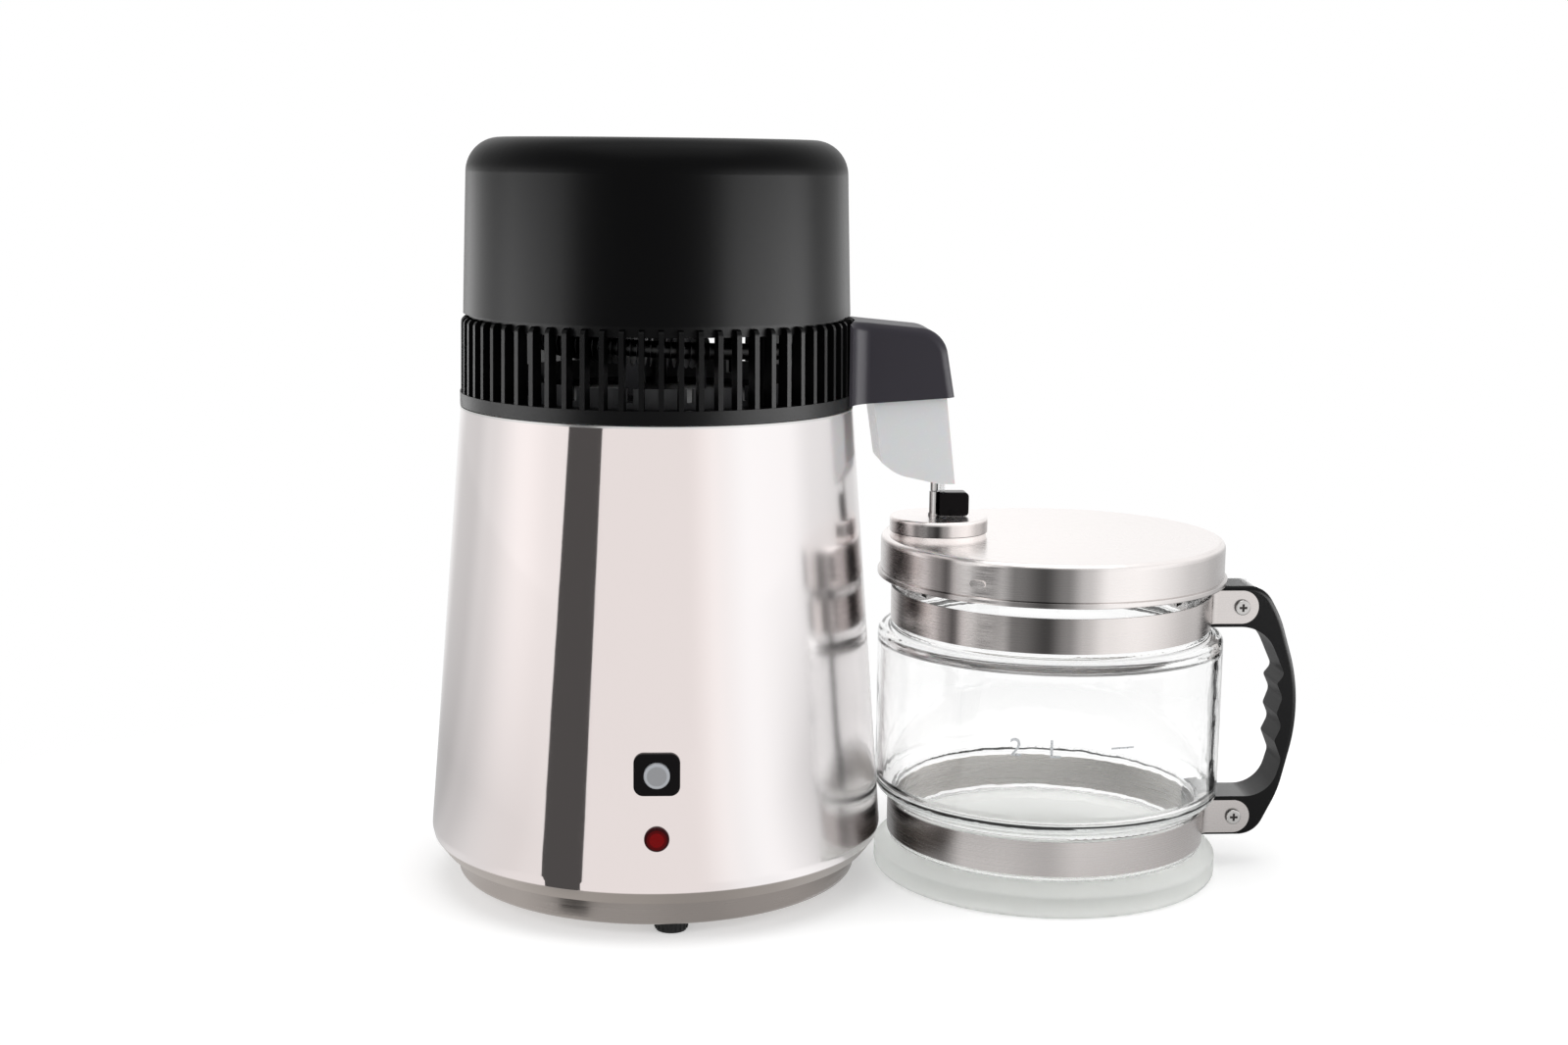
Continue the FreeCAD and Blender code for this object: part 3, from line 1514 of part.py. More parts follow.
def spout_arm():
    """Hollow arm, open below, with a saddle on the slat ring and a collar into its opening."""
    hull = arm_plan().common(across(arm_side(0, 0), 2 * arm_half_width))
    hull = hull.makeFillet(arm_edge_round, arm_top_edges(hull))
    tall = arm_top_z + arm_corner_round
    bore = drum(ring_outer_radius, arm_low_z - arm_corner_round, tall)
    hull = hull.cut(bore)
    cavity = across(arm_side(arm_wall, cut_overrun), arm_half_width - arm_wall)
    cavity = cavity.cut(drum(ring_outer_radius + arm_saddle_thickness + arm_wall, 0, tall))
    collar = block(collar_reach, collar_end_x, -collar_half_width, collar_half_width,
                   collar_low_z, collar_high_z)
    inner_half = collar_half_width - collar_wall
    passage = block(collar_reach - cut_overrun, partition_x + arm_fillet_radius, -inner_half, inner_half,
                    collar_low_z + collar_wall, collar_high_z - collar_wall)
    partition = block(partition_x, partition_x + collar_wall, -arm_half_width + arm_wall / 2,
                      arm_half_width - arm_wall / 2, arm_end_low_z, partition_top_z)
    passage_cut = passage.common(drum(partition_x + arm_fillet_radius, 0, tall))
    arm = fused([hull.cut(cavity), collar]).cut(passage_cut)
    return fused([arm, partition])


def insert_side(inset, top_rise):
    """Side outline of the spout insert, moved inwards and opened at the top."""
    slant = (insert_low_end_x - insert_top_end_x) / (insert_top_z - insert_low_z)
    return [
        (insert_neck_x + inset, insert_top_z + top_rise, 0),
        (insert_neck_x + inset, insert_neck_z, 0),
        (insert_low_start_x + inset, insert_low_start_z + inset / 2, insert_heel_round),
        (insert_belly_x + inset / 2, insert_belly_z + inset, insert_belly_round),
        (insert_floor_x, insert_low_z + inset, insert_floor_round),
        (insert_low_end_x - inset * (1 + slant), insert_low_z + inset, 0),
        (insert_top_end_x - inset - slant * top_rise, insert_top_z + top_rise, 0),
    ]


def spout_insert():
    """Removable chute under the arm, with a perforated shelf for the filter pod."""
    outside = across(insert_side(0, 0), insert_half_width)
    inside = across(insert_side(insert_wall, cut_overrun), insert_half_width - insert_wall)
    inner_half = insert_half_width - insert_wall / 2
    shelf = block(insert_neck_x, insert_low_end_x, -inner_half, inner_half,
                  shelf_z - shelf_thickness, shelf_z)
    shelf = shelf.common(across(insert_side(insert_wall / 2, 0), inner_half))
    holes = []
    steps = int(pod_radius / shelf_hole_step)
    for step_x in range(-steps, steps + 1):
        for step_y in range(-steps, steps + 1):
            x = pod_x + step_x * shelf_hole_step
            y = step_y * shelf_hole_step
            holes.append(drum(shelf_hole_radius, shelf_z - 2 * shelf_thickness, shelf_z + cut_overrun, x, y))
    chute = fused([outside.cut(inside), shelf.cut(holes)])
    low = insert_low_z - cut_overrun
    outlet = drum(outlet_radius + running_gap, low, insert_low_z + outlet_rise, outlet_x)
    vent = drum(vent_radius + running_gap, low, insert_low_z + vent_rise, vent_x)
    return chute.cut([outlet, vent])


def filter_pod():
    """Carbon pod on the insert's shelf."""
    pod = drum(pod_radius, shelf_z, shelf_z + pod_height, pod_x)
    rims = [edge for edge in pod.Edges if edge.BoundBox.ZLength < fit_gap]
    return pod.makeFillet(pod_round, rims)


def outlet_tube():
    """Thin steel outlet through the insert's floor."""
    return hoop(outlet_radius, outlet_bore_radius, outlet_low_z, insert_low_z + outlet_rise, outlet_x)


def vent_tube():
    """Short clear tube beside the outlet."""
    return hoop(vent_radius, vent_bore_radius, outlet_low_z, insert_low_z + vent_rise, vent_x)


# Jug


def glass_jug():
    """Pressed glass jug with two band channels, a thick floor and lugs for the lid."""
    inner_channel = glass_channel_radius - glass_wall
    inner_body = glass_radius - glass_wall
    lip = glass_wall / 3
    jug = lathe([
        (0, glass_punt_height, 0),
        (glass_punt_radius, glass_punt_height, glass_channel_round),
        (glass_ring_radius, 0, glass_channel_round),
        (glass_foot_radius, 0, glass_foot_chamfer),
        (glass_foot_radius, glass_foot_height, glass_channel_round),
        (glass_channel_radius, glass_lower_channel_z, glass_channel_round),
        (glass_channel_radius, glass_lower_channel_top_z, glass_channel_round),
        (glass_radius, glass_body_low_z, glass_body_round),
        (glass_radius, glass_body_high_z, glass_body_round),
        (glass_channel_radius, glass_neck_z, glass_channel_round),
        (glass_channel_radius, glass_mouth_z, lip),
        (inner_channel, glass_mouth_z, lip),
        (inner_channel, glass_neck_z - glass_wall, glass_channel_round),
        (inner_body, glass_body_high_z - glass_wall, glass_inner_round),
        (inner_body, glass_body_low_z + glass_wall, glass_inner_round),
        (inner_channel, glass_lower_channel_top_z + glass_wall, glass_channel_round),
        (inner_channel, glass_floor_z, glass_inner_round),
        (0, glass_floor_z, 0),
    ])
    jug.translate(vec(jug_x, 0, 0))
    return fused([jug] + jug_lugs())


def jug_lugs():
    """Ramped lugs round the neck that the lid catches."""
    lugs = []
    root = glass_channel_radius - glass_wall / 2
    taper = lug_radius - glass_channel_radius
    section = [(root, lug_low_z, 0), (glass_channel_radius, lug_low_z, 0)]
    section += [(lug_radius, lug_low_z + taper / 2, 0), (lug_radius, lug_low_z + lug_height, 0)]
    section += [(root, lug_low_z + lug_height, 0)]
    face = Part.Face(rounded_wire(section, on_xz(0)))
    lug = face.revolve(ORIGIN, UP, lug_span)
    for index in range(lug_count):
        placed = turned(lug, lug_turn - lug_span / 2 + index * FULL_TURN / lug_count)
        lugs.append(moved(placed, jug_x, 0, 0))
    return lugs


def ear_plates(low):
    """Two parallel ears that run from a band's ends along the handle."""
    middle = low + band_height / 2
    end = ear_screw_offset + band_height / 2
    ears = []
    for side in (-1, 1):
        y_low, y_high = sorted((side * handle_half_thickness, side * ear_front))
        rounding = band_height / 2 - band_thickness / 10
        corners = [(ear_root_offset, low, 0), (end, low, rounding), (end, low + band_height, rounding)]
        corners += [(ear_root_offset, low + band_height, 0)]
        face = Part.Face(rounded_wire(corners, on_xz(y_low)))
        ear = face.extrude(vec(0, y_high - y_low, 0))
        ears.append(ear.cut(rod_y(handle_screw_radius + running_gap, y_low - cut_overrun,
                                  y_high + cut_overrun, ear_screw_offset, middle)))
    return ears


def ear_bends(band):
    """Upright edges where the ears leave the band's outside."""
    return [edge for edge in band.Edges
            if edge.BoundBox.ZLength > band_height / 2
            and abs(edge.BoundBox.XMin - ear_root_offset) < fit_gap
            and abs(edge.BoundBox.XMax - ear_root_offset) < fit_gap
            and abs(abs(edge.BoundBox.YMin) - ear_front) < fit_gap]


def steel_band(low):
    """Open steel band round the glass, with an ear at each end for the handle's screw."""
    ring = hoop(band_radius, band_radius - band_thickness, low, low + band_height)
    gap = block(0, 2 * band_radius, -handle_half_thickness, handle_half_thickness,
                low - cut_overrun, low + band_height + cut_overrun)
    band = fused([ring.cut(gap)] + ear_plates(low))
    return moved(band.makeFillet(ear_bend_round, ear_bends(band)), jug_x, 0, 0)


def handle_levels():
    """Heights of the handle's outer and inner outlines: low, inner low, inner high, top."""
    top = upper_band_z + band_height / 2 + handle_end_height / 2
    low = lower_band_z + band_height / 2 - handle_end_height / 2
    return low, low + handle_end_height, top - handle_end_height, top


def handle_side(shares, reach, low, high, root):
    """Side corners of one outline from its upper end to its lower end, closed along its root."""
    corners = [(root, low, 0), (root, high, 0)]
    for x_share, z_share, round_share in shares:
        corners.append((x_share * reach, low + z_share * (high - low), round_share * (high - low)))
    return corners


def side_rims(shape, x_least):
    """Edges of a shape's side outline that reach past a distance in X."""
    return [edge for edge in shape.Edges if edge.BoundBox.YLength < fit_gap and edge.BoundBox.XMax > x_least]


def jug_handle():
    """Black handle with a scalloped grip, screwed between the ears of both bands."""
    half = handle_half_thickness
    past_ears = ear_screw_offset + band_height / 2
    low, low_inner, high_inner, high = handle_levels()
    root = band_radius - glass_wall
    handle = across(handle_side(handle_outer_shares, handle_outer_offset, low, high, root), half)
    handle = handle.makeFillet(handle_edge_share * (high - low), side_rims(handle, past_ears))
    grip = handle_side(handle_grip_shares, handle_grip_offset, low_inner, high_inner, root - cut_overrun)
    cuts = [across(grip, half + cut_overrun), drum(band_radius + running_gap, 0, lid_low_z)]
    for z in (lower_band_z, upper_band_z):
        middle = z + band_height / 2
        cuts.append(rod_y(handle_screw_radius + running_gap, -2 * half, 2 * half, ear_screw_offset, middle))
    return moved(handle.cut(cuts), jug_x, 0, 0)


def handle_screws():
    """Cross-recessed screws through the ears and the handle."""
    screws = []
    for low in (lower_band_z, upper_band_z):
        z = low + band_height / 2
        x = jug_x + ear_screw_offset
        head_front = -ear_front - handle_screw_head_height
        head = rod_y(handle_screw_head_radius, head_front, -ear_front, x, z)
        rim = [edge for edge in head.Edges if abs(edge.BoundBox.YMax - head_front) < fit_gap]
        head = head.makeFillet(handle_screw_head_height / 2, rim)
        shank = rod_y(handle_screw_radius, -ear_front, ear_front + handle_nut_height, x, z)
        half = handle_recess_width / 2
        reach = handle_screw_head_radius / 2
        deep = head_front + handle_recess_depth
        cross = [
            block(x - half, x + half, head_front - cut_overrun, deep, z - reach, z + reach),
            block(x - reach, x + reach, head_front - cut_overrun, deep, z - half, z + half),
        ]
        screws.append(fused([head, shank]).cut(cross))
    return screws


def handle_nuts():
    """Nuts on the far ears."""
    nuts = []
    for low in (lower_band_z, upper_band_z):
        z = low + band_height / 2
        nut = hexagon(handle_nut_width, 0, handle_nut_height, 0, 0)
        nut = nut.cut(drum(handle_screw_radius + running_gap, -cut_overrun, handle_nut_height + cut_overrun))
        nut.rotate(ORIGIN, vec(1, 0, 0), -90)
        nut.translate(vec(jug_x + ear_screw_offset, ear_front, z))
        nuts.append(nut)
    return nuts


# Lid and inlet


def jug_lid():
    """Pressed steel lid with a rolled bead, three pips and a raised seat for the inlet disc."""
    inner = lid_radius - lid_wall
    bead_top = lid_low_z + lid_bead_height
    lid = lathe([
        (0, lid_top_z, 0),
        (lid_radius, lid_top_z, lid_top_round),
        (lid_radius, bead_top, 0),
        (lid_bead_radius, bead_top - lid_bead_height / 6, lid_wall / 2),
        (lid_bead_radius, lid_low_z, lid_wall),
        (inner, lid_low_z, 0),
        (inner, lid_top_z - lid_wall, lid_top_round - lid_wall),
        (0, lid_top_z - lid_wall, 0),
    ])
    lid = fused([lid] + around(lid_pip(), pip_count, pip_turn))
    lid.translate(vec(jug_x, 0, 0))
    seat = drum(disc_seat_radius, lid_top_z - lid_wall / 2, lid_seat_z, disc_x)
    hole = drum(post_radius + running_gap, lid_low_z, lid_seat_z + cut_overrun, outlet_x)
    return fused([lid, seat]).cut(hole)


def lid_pip():
    """Raised oblong pip on the lid's side, at azimuth zero of the jug."""
    half = pip_length / 2 - pip_width / 2
    middle = lid_radius - lid_wall / 2
    face = middle + pip_height + lid_wall / 2
    pip = block(middle, face, -half, half, pip_z - pip_width / 2, pip_z + pip_width / 2)
    ends = [Part.makeCylinder(pip_width / 2, face - middle, vec(middle, y, pip_z), vec(1, 0, 0))
            for y in (-half, half)]
    return fused([pip] + ends)


def lid_gasket():
    """Soft ring between the jug's mouth and the lid."""
    return hoop(lid_gasket_radius, lid_gasket_inner_radius, glass_mouth_z + fit_gap, lid_top_z - lid_wall,
                jug_x)


def disc_seal():
    """Dark ring that the inlet disc stands on."""
    return hoop(disc_seal_radius, disc_seal_inner_radius, lid_seat_z, disc_low_z + disc_wall, disc_x)


def inlet_disc():
    """Round steel cap on the lid, through which the inlet post passes."""
    low, top = disc_low_z, disc_top_z
    inner = disc_radius - disc_wall
    cap = lathe([
        (0, top, 0),
        (disc_radius, top, disc_round),
        (disc_radius, low, 0),
        (inner, low, 0),
        (inner, top - disc_wall, 0),
        (0, top - disc_wall, 0),
    ])
    cap.translate(vec(disc_x, 0, 0))
    web = hoop(inner + disc_wall / 2, disc_seal_inner_radius, low + disc_wall, low + 2 * disc_wall, disc_x)
    hole = drum(post_radius + running_gap, low, top + cut_overrun, outlet_x)
    return fused([cap, web]).cut(hole)


def inlet_post():
    """Hollow post that the drips enter, with a collar on the disc."""
    low = lid_top_z - lid_wall - post_tail
    post = hoop(post_radius, post_bore_radius, low, post_top_z, outlet_x)
    collar = hoop(post_collar_radius, post_bore_radius, disc_top_z + running_gap,
                  disc_top_z + post_collar_height, outlet_x)
    return fused([post, collar])


def post_clip():
    """Ring under the lid that keeps the post from lifting out."""
    top = lid_top_z - lid_wall - running_gap
    return hoop(clip_radius, post_radius + running_gap / 2, top - clip_height, top, outlet_x)


def valve_tab():
    """Black tab fixed to the post, by which it is turned."""
    low = disc_top_z + tab_drop
    corners = [
        (tab_start_x, low, 0),
        (tab_end_x, low, tab_foot_round),
        (tab_end_x, post_top_z, tab_corner_round),
        (tab_start_x, post_top_z, 0),
    ]
    tab = across(corners, tab_half_thickness)
    far_edges = []
    for edge in tab.Edges:
        box = edge.BoundBox
        if box.YLength < fit_gap and box.XMax > tab_start_x + fit_gap:
            far_edges.append(edge)
    tab = tab.makeFillet(tab_edge_round, far_edges)
    clear_post = drum(post_radius + running_gap / 2, low - cut_overrun, post_top_z + cut_overrun, outlet_x)
    clear_collar = drum(post_collar_radius + running_gap / 2, low - cut_overrun,
                        disc_top_z + post_collar_height + running_gap, outlet_x)
    return tab.cut([clear_post, clear_collar])


PIECES = {
    "outer_shell": outer_shell,
    "base_pan": base_pan,
    "rubber_feet": rubber_feet,
    "foot_screws": foot_screws,
    "boiling_tank": boiling_tank,
    "heat_spreader": spreader_with_holes,
    "heater_ring": heater_ring,
    "tie_rods": tie_rods,
    "tie_nuts": tie_nuts,
    "cutoff_thermostat": cutoff_thermostat,
    "thermostat_strap": thermostat_strap,
    "strap_screws": strap_screws,
    "reset_bezel": reset_bezel,
    "reset_button": reset_button,
    "switch_body": switch_body,
    "lamp_lens": lamp_lens,
    "lamp_body": lamp_body,
    "mains_inlet": mains_inlet,
    "inlet_pins": inlet_pins,
    "inlet_screws": inlet_screws,
    "head_gasket": head_gasket,
    "head_plate": head_plate,
    "plate_screws": plate_screws,
    "slat_ring": slat_ring,
    "cover_screws": cover_screws,
    "air_baffle": air_baffle,
    "top_cover": top_cover,
    "condenser_coil": condenser_coil,
    "motor_stand": motor_stand,
    "stand_screws": stand_screws,
    "motor_stator": motor_stator,
    "motor_winding": motor_winding,
    "bearing_bridge": bearing_bridge,
    "motor_rotor": motor_rotor,
    "fan_blades": fan_blades,
    "fan_socket": fan_socket,
    "fan_socket_pins": socket_pins,
    "spout_arm": spout_arm,
    "spout_insert": spout_insert,
    "filter_pod": filter_pod,
    "outlet_tube": outlet_tube,
    "vent_tube": vent_tube,
    "glass_jug": glass_jug,
    "upper_band": lambda: steel_band(upper_band_z),
    "lower_band": lambda: steel_band(lower_band_z),
    "jug_handle": jug_handle,
    "handle_screws": handle_screws,
    "handle_nuts": handle_nuts,
    "jug_lid": jug_lid,
    "lid_gasket": lid_gasket,
    "disc_seal": disc_seal,
    "inlet_disc": inlet_disc,
    "inlet_post": inlet_post,
    "post_clip": post_clip,
    "valve_tab": valve_tab,
}


def export_pieces():
    """Write one STEP file per piece, with identical fasteners grouped in one file."""
    os.makedirs("parts", exist_ok=True)
    for name, make in PIECES.items():
        made = make()
        shape = Part.makeCompound(made) if isinstance(made, list) else made
        shape.exportStep(f"parts/{name}.step")
        box = shape.BoundBox
        print(f"{name}: {len(shape.Solids)} solids, valid {shape.isValid()}, volume {shape.Volume:.0f}, "
              f"X {box.XMin:.1f} {box.XMax:.1f} Y {box.YMin:.1f} {box.YMax:.1f} "
              f"Z {box.ZMin:.1f} {box.ZMax:.1f}")
    print(f"least gap between coil turns: {least_coil_gap():.2f} mm")


export_pieces()
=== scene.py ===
"""Countertop water distiller: finishes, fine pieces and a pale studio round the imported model."""

import logging
import math
from collections.abc import Callable, Iterable, Sequence
from dataclasses import dataclass, field
from enum import Enum

import bmesh
import bpy
from mathutils import Matrix, Vector

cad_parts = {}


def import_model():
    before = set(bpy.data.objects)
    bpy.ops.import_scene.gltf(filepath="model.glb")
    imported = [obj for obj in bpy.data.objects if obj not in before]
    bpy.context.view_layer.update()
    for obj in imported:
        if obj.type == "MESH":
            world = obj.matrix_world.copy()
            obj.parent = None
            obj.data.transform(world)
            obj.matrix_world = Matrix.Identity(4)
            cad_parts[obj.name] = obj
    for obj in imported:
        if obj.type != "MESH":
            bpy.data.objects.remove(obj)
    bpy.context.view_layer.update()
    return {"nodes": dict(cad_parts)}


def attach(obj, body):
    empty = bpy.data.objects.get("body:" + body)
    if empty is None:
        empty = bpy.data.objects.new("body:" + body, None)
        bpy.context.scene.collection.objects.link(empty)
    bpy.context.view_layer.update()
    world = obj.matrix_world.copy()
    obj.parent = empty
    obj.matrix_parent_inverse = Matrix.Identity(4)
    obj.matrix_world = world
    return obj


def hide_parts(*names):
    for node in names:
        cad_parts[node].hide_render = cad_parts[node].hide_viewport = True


log = logging.getLogger("distiller")

MM = 0.001
Colour = tuple[float, float, float]
Point = tuple[float, float, float]
Socket = bpy.types.NodeSocket
COAT_ROUGHNESS = 0.04
SUBSURFACE_REACH = 4.0 * MM


# Node trees


class NodeBench:
    """Adds and joins the nodes of one tree."""

    def __init__(self, tree: bpy.types.NodeTree) -> None:
        """Starts from an empty tree."""
        self.tree = tree
        tree.nodes.clear()

    def add(self, kind: str, inputs: dict[str | int, object] | None = None,
            **settings: object) -> bpy.types.Node:
        """Adds a node.

        Args:
            kind: Type name of the node.
            inputs: Values or source sockets, by input name or number.
            settings: Properties of the node itself.

        Returns:
            The new node.
        """
        node = self.tree.nodes.new(kind)
        for name, value in settings.items():
            setattr(node, name, value)
        for key, value in (inputs or {}).items():
            if isinstance(value, Socket):
                self.tree.links.new(value, node.inputs[key])
            else:
                node.inputs[key].default_value = value
        return node

    def out(self, kind: str, inputs: dict[str | int, object] | None = None, **settings: object) -> Socket:
        """First output of a new node."""
        return self.add(kind, inputs, **settings).outputs[0]

    def math(self, operation: str, first: object, second: object = 0.0) -> Socket:
        """Result socket of a Math node on two values or sockets."""
        return self.out("ShaderNodeMath", {0: first, 1: second}, operation=operation)

    def vector(self, operation: str, first: object, second: object = (0.0, 0.0, 0.0)) -> Socket:
        """Vector result socket of a Vector Math node."""
        return self.out("ShaderNodeVectorMath", {0: first, 1: second}, operation=operation)

    def part(self, place: Socket, axis: str) -> Socket:
        """One coordinate of a vector: X, Y or Z."""
        return self.add("ShaderNodeSeparateXYZ", {0: place}).outputs[axis]

    def length(self, offset: Socket) -> Socket:
        """Length of a vector."""
        return self.add("ShaderNodeVectorMath", {0: offset}, operation="LENGTH").outputs["Value"]

    def spread(self, value: Socket, low: float, high: float, start: float = 0.0, end: float = 1.0) -> Socket:
        """Maps a value from one range to another and holds it there.

        Args:
            value: Socket to map.
            low: Result at the start of the range.
            high: Result at its end.
            start: Start of the range of the value.
            end: End of the range of the value.

        Returns:
            The mapped socket.
        """
        sockets = {"Value": value, "From Min": start, "From Max": end, "To Min": low, "To Max": high}
        return self.out("ShaderNodeMapRange", sockets)

    def blend(self, share: object, first: object, second: object) -> Socket:
        """Colour between two colours by a share."""
        return self.add("ShaderNodeMix", {0: share, 6: first, 7: second}, data_type="RGBA").outputs[2]

    def tone_round(self, place: Socket, axis_x: float, tones: Sequence[tuple[float, float]]) -> Socket:
        """Tone that changes smoothly round an upright axis.

        Args:
            place: Coordinates in metres.
            axis_x: X of the axis.
            tones: Angle from the front in degrees, positive to the right, and tone there, up to 2.

        Returns:
            The tone's socket.
        """
        x, y, _ = self.add("ShaderNodeSeparateXYZ", {0: place}).outputs
        angle = self.math("ARCTAN2", self.math("SUBTRACT", x, axis_x), self.math("MULTIPLY", y, -1.0))
        ramp = self.add("ShaderNodeValToRGB", {0: self.spread(angle, 0.0, 1.0, -math.pi, math.pi)})
        stops = ramp.color_ramp.elements
        ramp.color_ramp.interpolation = "EASE"
        for degrees, tone in tones[1:-1]:
            stops.new(degrees / 360 + 0.5).color = opaque((tone / 2,) * 3)
        stops[0].color = opaque((tones[0][1] / 2,) * 3)
        stops[-1].color = opaque((tones[-1][1] / 2,) * 3)
        return self.math("MULTIPLY", ramp.outputs[0], 2.0)


class Lay(Enum):
    """Direction in which the fine grain of a surface runs."""

    EVEN = "the same every way"
    TURNED = "round an upright axis"
    BANDED = "level, on upright walls"
    UPRIGHT = "up and down"
    LENGTHWISE = "along X"


def opaque(colour: Colour, share: float = 1.0) -> tuple[float, float, float, float]:
    """Colour with alpha 1, each part times a share and held at most 1."""
    red, green, blue = (min(1.0, part * share) for part in colour)
    return red, green, blue, 1.0


@dataclass(frozen=True)
class Finish:
    """Look of one kind of surface, made with procedural grain, tone and bump.

    Lengths are metres. Grain is the number of grains per metre across their run.
    """

    name: str
    colour: Colour
    metallic: float = 0.0
    roughness: float = 0.4
    roughness_spread: float = 0.06
    lay: Lay = Lay.EVEN
    axis_x: float = 0.0
    grain: float = 900.0
    stretch: float = 40.0
    bump: float = 0.000008
    tone: float = 0.06
    cloud: float = 22.0
    specular: float = 0.5
    coat: float = 0.0
    transmission: float = 0.0
    subsurface: float = 0.0
    ior: float = 1.5

    def grain_vector(self, bench: NodeBench, place: Socket) -> Socket:
        """Coordinates stretched along the lay.

        Args:
            bench: Bench of the material.
            place: Object coordinates.

        Returns:
            A vector socket in grain units.
        """
        long = self.grain / self.stretch
        if self.lay is Lay.TURNED:
            centred = bench.vector("SUBTRACT", place, (self.axis_x, 0.0, 0.0))
            flat = bench.vector("MULTIPLY", centred, (1.0, 1.0, 0.0))
            reach = bench.length(flat)
            around = bench.vector("MULTIPLY", bench.vector("NORMALIZE", flat), (long * 0.1, long * 0.1, 0.0))
            height = bench.part(centred, "Z")
            across = bench.math("MULTIPLY", bench.math("ADD", height, reach), self.grain)
            return bench.vector("ADD", around, bench.out("ShaderNodeCombineXYZ", {"Z": across}))
        scale = {
            Lay.EVEN: (self.grain,) * 3,
            Lay.BANDED: (long, long, self.grain),
            Lay.UPRIGHT: (self.grain, self.grain, long),
            Lay.LENGTHWISE: (long, self.grain, self.grain),
        }[self.lay]
        return bench.vector("MULTIPLY", place, scale)

    def colour_socket(self, bench: NodeBench, place: Socket, mottle: Socket) -> Socket:
        """Base colour, a little lighter and darker over the surface."""
        return bench.blend(mottle, opaque(self.colour, 1 - self.tone), opaque(self.colour, 1 + self.tone))

    def roughness_socket(self, bench: NodeBench, place: Socket, grain: Socket) -> Socket:
        """Roughness that varies with the grain."""
        low = max(0.0, self.roughness - self.roughness_spread)
        return bench.spread(grain, low, self.roughness + self.roughness_spread, 0.3, 0.7)

    def volume_socket(self, bench: NodeBench) -> Socket | None:
        """What fills the inside; nothing for an opaque finish."""
        return None

    def material(self) -> bpy.types.Material:
        """Builds the material.

        Returns:
            The new material.
        """
        material = bpy.data.materials.new(self.name)
        material.use_nodes = True
        bench = NodeBench(material.node_tree)
        place = bench.add("ShaderNodeTexCoord").outputs["Object"]
        along = self.grain_vector(bench, place)
        fine = bench.out("ShaderNodeTexNoise", {"Vector": along, "Scale": 1.0, "Detail": 3.0})
        broad = bench.out("ShaderNodeTexNoise", {"Vector": place, "Scale": self.cloud, "Detail": 2.0})
        mottle = bench.math("ADD", bench.math("MULTIPLY", fine, 0.5), bench.math("MULTIPLY", broad, 0.5))
        shader = bench.add("ShaderNodeBsdfPrincipled", {
            "Base Color": self.colour_socket(bench, place, mottle),
            "Metallic": self.metallic,
            "Roughness": self.roughness_socket(bench, place, fine),
            "IOR": self.ior,
            "Specular IOR Level": self.specular,
            "Coat Weight": self.coat,
            "Coat Roughness": COAT_ROUGHNESS,
            "Transmission Weight": self.transmission,
            "Subsurface Weight": self.subsurface,
            "Subsurface Scale": SUBSURFACE_REACH,
            "Normal": bench.out("ShaderNodeBump", {"Distance": self.bump, "Height": fine}),
        })
        output = bench.add("ShaderNodeOutputMaterial", {"Surface": shader.outputs[0]})
        volume = self.volume_socket(bench)
        if volume is not None:
            bench.tree.links.new(volume, output.inputs["Volume"])
        return material


@dataclass(frozen=True)
class ClearFinish(Finish):
    """Glass or clear plastic whose thick parts take up a faint tint."""

    depth_colour: Colour = (0.78, 0.9, 0.84)
    density: float = 3.0

    def volume_socket(self, bench: NodeBench) -> Socket:
        """Absorption that tints long paths through the wall."""
        inputs = {"Color": opaque(self.depth_colour), "Density": self.density}
        return bench.out("ShaderNodeVolumeAbsorption", inputs)


@dataclass(frozen=True)
class FootedGlass(ClearFinish):
    """Jug glass whose thick foot, under a height, is pressed with a frosted grain."""

    frost_z: float = 18.5 * MM
    frost_fade: float = 3.0 * MM
    frost_roughness: float = 0.7
    frost_colour: Colour = (1.0, 1.0, 0.985)

    def roughness_socket(self, bench: NodeBench, place: Socket, grain: Socket) -> Socket:
        """Clear above, frosted on the foot."""
        height = bench.part(place, "Z")
        return bench.spread(height, self.frost_roughness, self.roughness,
                            self.frost_z - self.frost_fade, self.frost_z)

    def colour_socket(self, bench: NodeBench, place: Socket, mottle: Socket) -> Socket:
        """Clear above, a trace of colour on the foot."""
        height = bench.part(place, "Z")
        share = bench.spread(height, 1.0, 0.0, self.frost_z - self.frost_fade, self.frost_z)
        return bench.blend(share, opaque(self.colour), opaque(self.frost_colour))


